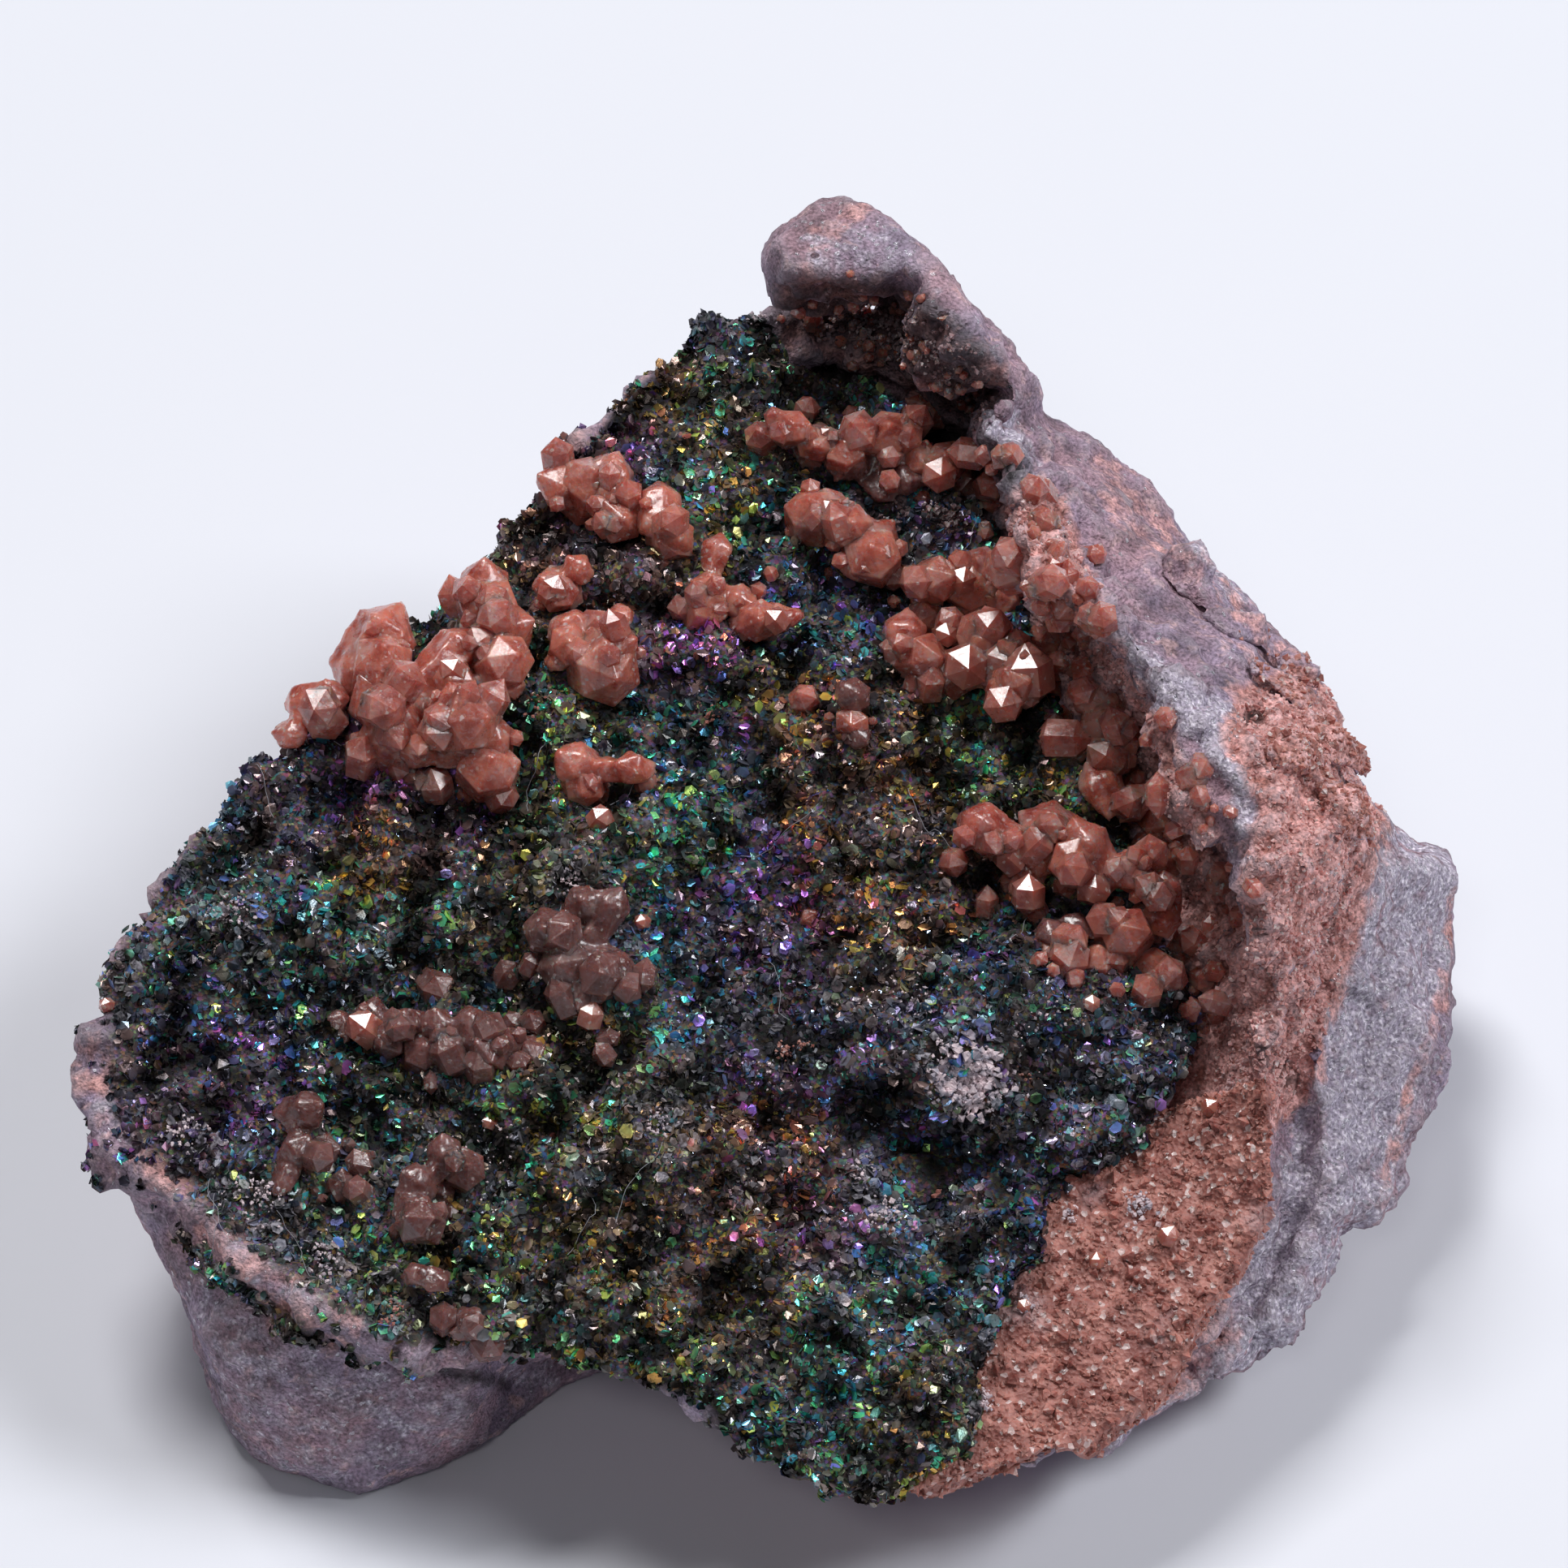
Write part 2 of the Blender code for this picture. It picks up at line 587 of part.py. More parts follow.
def make_cluster(name, stones, seats):
    """Crystals grown together into one solid, cut off above what they stand on."""
    made = crystal(name, stones[0][:3], stones[0][3])
    members = []
    for index, stone in enumerate(stones[1:]):
        members.append(crystal(f"{name}_crystal_{index}", stone[:3], stone[3]))
        apart = (Vector(stones[index][:3]) - Vector(stone[:3])).length
        if apart > ROOT_SPACING * (stones[index][3] + stone[3]):
            members.append(root(f"{name}_root_{index}", stones[index], stone))
    for member in members:
        join = made.modifiers.new("grown together", "BOOLEAN")
        join.operation = "UNION"
        join.object = helper(member)
    for seat in seats:
        cut(made, seat)
    merge = made.modifiers.new("merge flat faces", "DECIMATE")
    merge.decimate_type = "DISSOLVE"
    merge.angle_limit = math.radians(FLAT_DEGREES)
    return settle(made)


def standing(stones):
    """The crystals of a cluster with their centres at the height of the crust."""
    return [(x, y, crust_height(x, y) + CRYSTAL_RISE * r, r) for x, y, r in stones]


def islands(mesh):
    """The separate bodies of a mesh, as lists of vertices, the largest last."""
    left = set(mesh.verts)
    bodies = []
    while left:
        body = [left.pop()]
        for vertex in body:
            near = [edge.other_vert(vertex) for edge in vertex.link_edges]
            fresh = [other for other in near if other in left]
            left.difference_update(fresh)
            body.extend(fresh)
        bodies.append(body)
    return sorted(bodies, key=len)


def settle(made):
    """Applies the modifiers of a solid and keeps its largest body without the crumbs."""
    bpy.context.view_layer.update()
    graph = bpy.context.evaluated_depsgraph_get()
    data = bpy.data.meshes.new_from_object(made.evaluated_get(graph))
    mesh = bmesh.new()
    mesh.from_mesh(data)
    for crumb in islands(mesh)[:-1]:
        bmesh.ops.delete(mesh, geom=crumb, context="VERTS")
    mesh.to_mesh(data)
    mesh.free()
    made.modifiers.clear()
    made.data = data
    return made


def grown_copy(source, name, kept=0.25):
    """A copy of a settled solid grown by the gap, to cut away what would touch it."""
    made = bpy.data.objects.new(name, source.data.copy())
    bpy.data.collections["specimen"].objects.link(made)
    refine(made)
    grow = made.modifiers.new("grow by the gap", "DISPLACE")
    grow.strength = GAP * MM
    grow.mid_level = 0.0
    refine(made)
    coarsen = made.modifiers.new("broken faces", "DECIMATE")
    coarsen.ratio = kept
    return helper(settle(made))


def centre_the_box(objects):
    """Hangs the parts on one empty, which centres their box over the origin."""
    bpy.context.view_layer.update()
    corners = [vertex.co for obj in objects for vertex in obj.data.vertices]
    middle = [(min(c[i] for c in corners) + max(c[i] for c in corners)) / 2.0 for i in (0, 1)]
    hanger = bpy.data.objects.new("specimen_centre", None)
    bpy.data.collections["specimen"].objects.link(hanger)
    for obj in bpy.data.objects:
        if obj is not hanger:
            obj.parent = hanger
    hanger.location = (-middle[0], -middle[1], 0.0)
    return hanger


def main():
    """Builds the specimen and centres its box over the origin."""
    remove_everything()
    noise.seed_set(NOISE_SEED)
    for name in ("specimen", "cutters"):
        bpy.context.scene.collection.children.link(bpy.data.collections.new(name))
    matrix, crust, band = make_matrix(), make_crust(), make_band()
    crust_seat = make_crust_seat()
    rock_seat = grown_copy(matrix, "rock_seat")
    band_seat = grown_copy(band, "band_seat")
    for name, stones in CLUSTERS.items():
        seats = [crust_seat]
        if name in ON_THE_RIM:
            seats.append(rock_seat)
        make_cluster(name, standing(stones), seats)
    make_cluster("red_quartz_vein", RIM_VEIN, [rock_seat, band_seat, crust_seat])
    centre_the_box([matrix, crust, band])


main()
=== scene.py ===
"""Iridescent hematite with red quartz crystals on a mauve-brown rock.

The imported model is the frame. Each part of the specimen is a class that shapes its
pieces and gives them their finish. The rock, the red quartz and the dark ground of the
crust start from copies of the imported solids. The hematite plates, the grains and the
small crystals are joined meshes made from arrays, and the lint is made from curves.

Lengths are in mm and angles in degrees unless a name says otherwise. Places in the
picture are counted in dots, across from its left edge and down from its top edge.
"""

import logging
import math
from collections.abc import Callable, Sequence
from dataclasses import dataclass
from enum import Enum

import bpy
import numpy as np
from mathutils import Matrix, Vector, noise
from mathutils.bvhtree import BVHTree


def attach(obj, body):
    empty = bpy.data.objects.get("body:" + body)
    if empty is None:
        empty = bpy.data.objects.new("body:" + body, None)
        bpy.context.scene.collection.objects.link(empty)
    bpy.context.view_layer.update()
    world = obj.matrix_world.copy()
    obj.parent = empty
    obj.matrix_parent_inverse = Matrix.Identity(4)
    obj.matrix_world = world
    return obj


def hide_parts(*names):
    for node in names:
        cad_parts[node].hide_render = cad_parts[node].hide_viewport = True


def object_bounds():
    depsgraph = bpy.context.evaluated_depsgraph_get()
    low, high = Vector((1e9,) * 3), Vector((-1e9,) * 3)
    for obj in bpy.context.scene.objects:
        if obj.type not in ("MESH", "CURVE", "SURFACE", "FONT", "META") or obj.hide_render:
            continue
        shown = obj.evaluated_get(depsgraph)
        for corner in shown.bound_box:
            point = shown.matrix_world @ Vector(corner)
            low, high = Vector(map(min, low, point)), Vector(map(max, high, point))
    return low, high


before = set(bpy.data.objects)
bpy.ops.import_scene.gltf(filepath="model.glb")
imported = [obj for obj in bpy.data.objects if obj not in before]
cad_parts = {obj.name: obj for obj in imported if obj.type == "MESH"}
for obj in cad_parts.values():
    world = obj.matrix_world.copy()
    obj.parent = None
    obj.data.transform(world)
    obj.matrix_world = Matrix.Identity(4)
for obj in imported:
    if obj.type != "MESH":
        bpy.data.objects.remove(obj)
cad_low, cad_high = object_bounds()

LOG = logging.getLogger("specimen")
RGB = tuple[float, float, float]
Span = tuple[float, float]

MM = 0.001
UP = np.array([0.0, 0.0, 1.0])
BOX_LOW, BOX_HIGH = np.array(cad_low), np.array(cad_high)
# The width on the specimen of one dot of the picture
DOT = 0.0262
# The share of its half width over which the edge of a stroke fades
SOFT_EDGE = 0.5
# The cosine of the angle to the camera from which a surface counts as facing it
FACING = 0.25
# Heights above the floor between which the surface is let go from the resting face
LET_GO = (0.05, 0.9)
# The share of a crystal's length that its upright sides take
PRISM_SHARE = 0.45
SIX_SIDES = 6
HALF_SIDE = math.radians(30.0)
# The attributes that carry the tones of the rock and the colours of the flakes
TONE = "tone"
FLAKE = "flake"


class ReliefKind(Enum):
    """The kinds of texture that roughen a surface."""

    LUMPS = "CLOUDS"
    PITS = "VORONOI"


class Blend(Enum):
    """How one colour goes over another."""

    MIX = "MIX"
    MULTIPLY = "MULTIPLY"


@dataclass(frozen=True)
class Relief:
    """One layer of roughness: its kind, the size of its grain and its height."""

    kind: ReliefKind
    grain: float
    height: float


@dataclass(frozen=True)
class Facets:
    """A small closed shape that is copied many times: its corners and triangles."""

    corners: np.ndarray
    triangles: np.ndarray


@dataclass(frozen=True)
class Places:
    """Where the copies of a small shape stand: centres, axes and sizes along the axes."""

    centres: np.ndarray
    axes: np.ndarray
    sizes: np.ndarray


@dataclass(frozen=True)
class Picture:
    """The camera, and what its picture shows."""

    target: RGB = (0.3, 3.0, 12.0)
    elevation: float = 50.0
    distance: float = 253.1
    lens: float = 180.0
    sensor: float = 36.0
    dots: float = 1932.0

    def back(self) -> np.ndarray:
        """The direction from the specimen to the camera."""
        tilt = math.radians(self.elevation)
        return np.array([0.0, -math.cos(tilt), math.sin(tilt)])

    def upward(self) -> np.ndarray:
        """The direction that is up in the picture."""
        return np.cross(self.back(), np.array([1.0, 0.0, 0.0]))

    def eye(self) -> np.ndarray:
        """Where the camera stands."""
        return (np.array(self.target) + self.back() * self.distance) * MM

    def dots_of(self, places: np.ndarray) -> np.ndarray:
        """Finds where places in space are seen in the picture.

        Args:
            places: The places, one row each.

        Returns:
            How far across and down the picture each place is, one row each.
        """
        away = places - self.eye()
        zoom = self.dots * self.lens / self.sensor / -(away @ self.back())
        middle = self.dots / 2.0
        down = middle - zoom * (away @ self.upward())
        return np.stack([middle + zoom * away[:, 0], down], axis=1)

    def ways_to_eye(self, places: np.ndarray) -> np.ndarray:
        """The directions from places in space to the camera."""
        ways = self.eye() - places
        return ways / np.linalg.norm(ways, axis=1)[:, None]

    def land(
        self, across: float, down: float, trees: Sequence[BVHTree]
    ) -> tuple[Vector, Vector] | None:
        """Finds the surface that a dot of the picture shows.

        Args:
            across: The dot, counted from the left.
            down: The dot, counted from the top.
            trees: The surfaces that may be seen.

        Returns:
            The place and the normal of the nearest surface, or nothing.
        """
        step = self.sensor / self.lens / self.dots
        middle = self.dots / 2.0
        way = -self.back() - self.upward() * (down - middle) * step
        way[0] += (across - middle) * step
        nearest = None
        for tree in trees:
            hit, normal, _, far = tree.ray_cast(Vector(self.eye()), Vector(way).normalized())
            if hit is not None and (nearest is None or far < nearest[2]):
                nearest = (hit, normal, far)
        return nearest[:2] if nearest else None


@dataclass(frozen=True)
class Stroke:
    """A line drawn over the picture: its points, its half width in dots and its strength."""

    points: tuple[Span, ...]
    width: float
    strength: float = 1.0

    def share(self, seen: np.ndarray) -> np.ndarray:
        """Works out how much of the stroke each place in the picture takes.

        Args:
            seen: The places in the picture, one row each.

        Returns:
            One number for each place, from 0 to the stroke's strength.
        """
        nearest = np.full(len(seen), 1e6)
        legs = list(zip(self.points, self.points[1:])) or [(self.points[0], self.points[0])]
        for first, last in legs:
            start = np.array(first)
            along = np.array(last) - start
            share = np.clip((seen - start) @ along / max(along @ along, 1.0), 0.0, 1.0)
            off = np.linalg.norm(seen - start - share[:, None] * along, axis=1)
            nearest = np.minimum(nearest, off)
        outer, inner = (1.0 + SOFT_EDGE) * self.width, (1.0 - SOFT_EDGE) * self.width
        return self.strength * smooth_step(outer, inner, nearest)


@dataclass(frozen=True)
class Pull:
    """A stroke that moves the surface: to the camera, to the right and up the picture."""

    points: tuple[Span, ...]
    width: float
    near: float = 0.0
    right: float = 0.0
    up: float = 0.0


@dataclass(frozen=True)
class SoftLight:
    """A square studio light aimed at the specimen: its place, width, power and colour."""

    place: RGB
    width: float
    power: float
    colour: RGB


PICTURE = Picture()
KEY_LIGHT = SoftLight((-250.0, 420.0, 1000.0), 340.0, 7.7, (1.0, 0.985, 0.98))
FILL_LIGHT = SoftLight((640.0, 60.0, 740.0), 300.0, 5.0, (0.97, 0.975, 1.0))
FRONT_LIGHT = SoftLight((-170.0, -600.0, 950.0), 220.0, 0.9, (1.0, 0.98, 0.97))


def drawn(strokes: Sequence[Stroke], places: np.ndarray) -> np.ndarray:
    """The strongest stroke at each place in space."""
    seen = PICTURE.dots_of(places)
    return np.max([stroke.share(seen) for stroke in strokes], axis=0)


def facing_camera(places: np.ndarray, normals: np.ndarray) -> np.ndarray:
    """1 where a surface faces the camera, falling to 0 where it is seen edge on."""
    return smooth_step(0.0, FACING, (normals * PICTURE.ways_to_eye(places)).sum(axis=1))


def let_go(places: np.ndarray) -> np.ndarray:
    """0 on the resting face and 1 on all that is clear of the floor."""
    return smooth_step(LET_GO[0] * MM, LET_GO[1] * MM, places[:, 2])


def inside_box(places: np.ndarray) -> np.ndarray:
    """The same places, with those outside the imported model's box brought back to it."""
    return np.clip(places, BOX_LOW, BOX_HIGH)


def sculpt(piece: bpy.types.Object, pulls: Sequence[Pull]) -> None:
    """Moves the surface under strokes, but holds the resting face.

    Args:
        piece: The object that is changed.
        pulls: The strokes and how far they move the surface.
    """
    places = coordinates(piece.data)
    seen = PICTURE.dots_of(places)
    ways = PICTURE.ways_to_eye(places) * facing_camera(places, vertex_normals(piece.data))[:, None]
    shift = np.zeros(places.shape)
    for pull in pulls:
        share = Stroke(pull.points, pull.width).share(seen)[:, None]
        aside = np.array([pull.right, 0.0, 0.0]) + PICTURE.upward() * pull.up
        shift += share * (aside + ways * pull.near)
    moved = places + shift * let_go(places)[:, None] * MM
    move_vertices(piece.data, inside_box(moved))


def deselect_all() -> None:
    """Leaves nothing selected."""
    bpy.ops.object.select_all(action="DESELECT")


def make_active(piece: bpy.types.Object) -> None:
    """Selects one piece and makes it the active object.

    Args:
        piece: The object that the next operators act on.
    """
    deselect_all()
    piece.select_set(True)
    bpy.context.view_layer.objects.active = piece


def apply_modifier(piece: bpy.types.Object, kind: str, **settings: object) -> None:
    """Adds a modifier with its settings and applies it.

    Args:
        piece: The object that is changed.
        kind: The type of the modifier.
        **settings: Properties of the modifier and their values.
    """
    make_active(piece)
    bpy.ops.object.modifier_add(type=kind)
    modifier = piece.modifiers[-1]
    for name, value in settings.items():
        setattr(modifier, name, value)
    bpy.ops.object.modifier_apply(modifier=modifier.name)


def copy_of_node(node: str, name: str) -> bpy.types.Object:
    """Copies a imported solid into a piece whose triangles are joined.

    Args:
        node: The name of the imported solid.
        name: The name of the new piece.

    Returns:
        The new piece, in the place of the solid.
    """
    piece = bpy.data.objects.new(name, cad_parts[node].data.copy())
    bpy.context.scene.collection.objects.link(piece)
    piece.data.materials.clear()
    make_active(piece)
    bpy.ops.object.mode_set(mode="EDIT")
    bpy.ops.mesh.select_all(action="SELECT")
    bpy.ops.mesh.remove_doubles(threshold=1e-6)
    bpy.ops.object.mode_set(mode="OBJECT")
    return piece


def coordinates(mesh: bpy.types.Mesh) -> np.ndarray:
    """Reads the places of a mesh's vertices.

    Args:
        mesh: The mesh.

    Returns:
        The places, one row each.
    """
    found = np.empty(len(mesh.vertices) * 3)
    mesh.vertices.foreach_get("co", found)
    return found.reshape(-1, 3)


def vertex_normals(mesh: bpy.types.Mesh) -> np.ndarray:
    """Reads the normals of a mesh's vertices.

    Args:
        mesh: The mesh.

    Returns:
        The normals, one row each.
    """
    found = np.empty(len(mesh.vertices) * 3)
    mesh.vertices.foreach_get("normal", found)
    return found.reshape(-1, 3)


def move_vertices(mesh: bpy.types.Mesh, places: np.ndarray) -> None:
    """Puts a mesh's vertices in new places."""
    mesh.vertices.foreach_set("co", np.ascontiguousarray(places).ravel())
    mesh.update()


def smooth_step(low: float, high: float, value: np.ndarray) -> np.ndarray:
    """A smooth rise from 0 at low to 1 at high.

    Args:
        low: Where the rise starts.
        high: Where the rise ends, which may be below low.
        value: The numbers to read.

    Returns:
        One share for each number.
    """
    share = np.clip((value - low) / (high - low), 0.0, 1.0)
    return share * share * (3.0 - 2.0 * share)


def roughen(
    piece: bpy.types.Object,
    reliefs: Sequence[Relief],
    share: Callable[[np.ndarray], np.ndarray] | None = None,
) -> None:
    """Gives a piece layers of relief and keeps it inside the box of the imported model.

    Args:
        piece: The object that is roughened.
        reliefs: The layers, from the broadest to the finest.
        share: How much of the relief each place takes, from 0 to 1.
    """
    before = coordinates(piece.data)
    for relief in reliefs:
        texture = bpy.data.textures.new(f"{piece.name}_relief", relief.kind.value)
        texture.noise_scale = relief.grain * MM
        apply_modifier(
            piece,
            "DISPLACE",
            texture=texture,
            texture_coords="LOCAL",
            strength=relief.height * MM,
            mid_level=0.5,
        )
    after = coordinates(piece.data)
    if share is not None:
        after = before + (after - before) * share(before)[:, None]
    move_vertices(piece.data, inside_box(after))


def smooth_shading(piece: bpy.types.Object) -> None:
    """Shades the whole piece smooth."""
    make_active(piece)
    bpy.ops.object.shade_smooth()


def remesh(piece: bpy.types.Object, grain: float) -> None:
    """Gives a piece an even skin of small faces of the given size."""
    apply_modifier(piece, "REMESH", mode="VOXEL", voxel_size=grain * MM)


def soft_noise(places: np.ndarray, scale: float, shift: RGB = (0.0, 0.0, 0.0)) -> np.ndarray:
    """Reads soft noise at places in space.

    Args:
        places: The places, one row each.
        scale: About how many spots there are to a mm.
        shift: How far the noise is shifted, so that two of them differ.

    Returns:
        The noise at each place, from -1 to 1.
    """
    return np.array([noise.noise(Vector(place) / MM * scale + Vector(shift)) for place in places])


def surface_places(
    piece: bpy.types.Object,
    count: int,
    chance: np.random.Generator,
    weight: Callable[[np.ndarray, np.ndarray], np.ndarray],
) -> tuple[np.ndarray, np.ndarray]:
    """Picks places on a piece at random, evenly over its area.

    Args:
        piece: The object to pick places on.
        count: How many places to pick.
        chance: The source of random numbers.
        weight: How likely each face is, from its centre and its normal.

    Returns:
        The places and the normals of the surface there.
    """
    mesh = piece.data
    mesh.calc_loop_triangles()
    corners = np.empty(len(mesh.loop_triangles) * 3, np.int32)
    mesh.loop_triangles.foreach_get("vertices", corners)
    first, second, third = coordinates(mesh)[corners.reshape(-1, 3)].transpose(1, 0, 2)
    crossed = np.cross(second - first, third - first)
    area = np.linalg.norm(crossed, axis=1)
    normals = crossed / np.maximum(area, 1e-18)[:, None]
    likely = area * weight((first + second + third) / 3.0, normals)
    picked = chance.choice(len(area), size=count, p=likely / likely.sum())
    a, b = chance.random((2, count))
    over = a + b > 1.0
    a[over], b[over] = 1.0 - a[over], 1.0 - b[over]
    a, b = a[:, None], b[:, None]
    places = first[picked] * (1.0 - a - b) + second[picked] * a + third[picked] * b
    return places, normals[picked]


def axes_round(ahead: np.ndarray, chance: np.random.Generator) -> np.ndarray:
    """Three axes for each direction, the last along it and the others at a random turn.

    Args:
        ahead: The directions, one row each, of length 1.
        chance: The source of random numbers.

    Returns:
        An array of 3 by 3 matrices whose rows are the axes.
    """
    helper = chance.normal(size=ahead.shape)
    side = np.cross(ahead, helper)
    side /= np.linalg.norm(side, axis=1)[:, None]
    return np.stack([side, np.cross(ahead, side), ahead], axis=1)


def leaning(normals: np.ndarray, lean: np.ndarray, chance: np.random.Generator) -> np.ndarray:
    """Directions that lean away from normals, each to a random side.

    Args:
        normals: The directions to lean from.
        lean: The angle of each, in radians.
        chance: The source of random numbers.

    Returns:
        The new directions, of length 1.
    """
    side = axes_round(normals, chance)[:, 0]
    return normals * np.cos(lean)[:, None] + side * np.sin(lean)[:, None]


def joined_copies(name: str, shape: Facets, places: Places) -> bpy.types.Object:
    """Makes one mesh of many copies of a small shape.

    Args:
        name: The name of the new piece.
        shape: The shape that is copied.
        places: Where the copies stand.

    Returns:
        The new piece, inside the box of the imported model.
    """
    local = shape.corners[None] * places.sizes[:, None]
    corners = np.einsum("nki,nij->nkj", local, places.axes) + places.centres[:, None]
    corners = inside_box(corners.reshape(-1, 3))
    step = len(shape.corners) * np.arange(len(places.centres))[:, None, None]
    triangles = (shape.triangles[None] + step).reshape(-1, 3)
    mesh = bpy.data.meshes.new(name)
    mesh.vertices.add(len(corners))
    mesh.vertices.foreach_set("co", corners.ravel())
    mesh.loops.add(triangles.size)
    mesh.loops.foreach_set("vertex_index", triangles.astype(np.int32).ravel())
    mesh.polygons.add(len(triangles))
    mesh.polygons.foreach_set("loop_start", np.arange(0, triangles.size, 3, dtype=np.int32))
    mesh.update(calc_edges=True)
    piece = bpy.data.objects.new(name, mesh)
    bpy.context.scene.collection.objects.link(piece)
    make_active(piece)
    bpy.ops.object.shade_flat()
    return piece


def paint(piece: bpy.types.Object, name: str, colours: np.ndarray, corners: int) -> None:
    """Stores one colour for each copy of a small shape.

    Args:
        piece: The piece of joined copies.
        name: The name of the attribute.
        colours: Red, green and blue for each copy.
        corners: How many corners one copy has.
    """
    layer = piece.data.color_attributes.new(name, "FLOAT_COLOR", "POINT")
    full = np.ones((len(colours) * corners, 4), np.float32)
    full[:, :3] = np.repeat(colours, corners, axis=0)
    layer.data.foreach_set("color", full.ravel())


def plate_shape() -> Facets:
    """Makes a thin six-cornered plate, whose corners lie high and low in turn.

    Returns:
        The plate, of radius 1 and with its corners 1 above and below its middle.
    """
    turn = np.radians([0.0, 120.0, 240.0, 60.0, 180.0, 300.0])
    height = np.array([1.0, 1.0, 1.0, -1.0, -1.0, -1.0])
    corners = np.stack([np.cos(turn), np.sin(turn), height], axis=1)
    triangles = [
        (0, 1, 2),
        (5, 4, 3),
        (0, 3, 1),
        (1, 3, 4),
        (1, 4, 2),
        (2, 4, 5),
        (2, 5, 0),
        (0, 5, 3),
    ]
    return Facets(corners, np.array(triangles))


def flake_shape() -> Facets:
    """A thin four-cornered flake, folded a little along the middle of each side."""
    corners = np.array([(1.0, 0.0, 1.0), (0.0, 1.0, -1.0), (-0.9, 0.1, 1.0), (0.1, -0.95, -1.0)])
    return Facets(corners, np.array([(0, 1, 2), (0, 2, 3), (1, 0, 3), (2, 1, 3)]))


def point_shape() -> Facets:
    """Makes a six-sided quartz crystal with a point at each end.

    Returns:
        The crystal, of radius 1 and one unit from its middle to each tip.
    """
    turn = 2.0 * HALF_SIDE * np.arange(SIX_SIDES)
    ring = np.stack([np.cos(turn), np.sin(turn)], axis=1)
    upper = np.column_stack([ring, np.full(SIX_SIDES, PRISM_SHARE)])
    lower = np.column_stack([ring, np.full(SIX_SIDES, -PRISM_SHARE)])
    corners = np.vstack([upper, lower, [[0.0, 0.0, 1.0], [0.0, 0.0, -1.0]]])
    top, bottom = len(corners) - 2, len(corners) - 1
    triangles = []
    for index in range(SIX_SIDES):
        after = (index + 1) % SIX_SIDES
        low, low_after = index + SIX_SIDES, after + SIX_SIDES
        triangles.append((top, index, after))
        triangles.append((bottom, low_after, low))
        triangles.append((index, low, low_after))
        triangles.append((index, low_after, after))
    return Facets(corners, np.array(triangles))


def grain_shape() -> Facets:
    """Makes a grain of sugary quartz, a squat double pyramid.

    Returns:
        The grain, about one unit from its middle to each corner.
    """
    corners = np.array(
        [
            (1.0, 0.1, 0.0),
            (-0.2, 0.9, 0.1),
            (-0.9, -0.1, -0.1),
            (0.1, -1.0, 0.1),
            (0.1, 0.0, 1.0),
            (0.0, 0.1, -1.0),
        ]
    )
    triangles = [
        (4, 0, 1),
        (4, 1, 2),
        (4, 2, 3),
        (4, 3, 0),
        (5, 1, 0),
        (5, 2, 1),
        (5, 3, 2),
        (5, 0, 3),
    ]
    return Facets(corners, np.array(triangles))


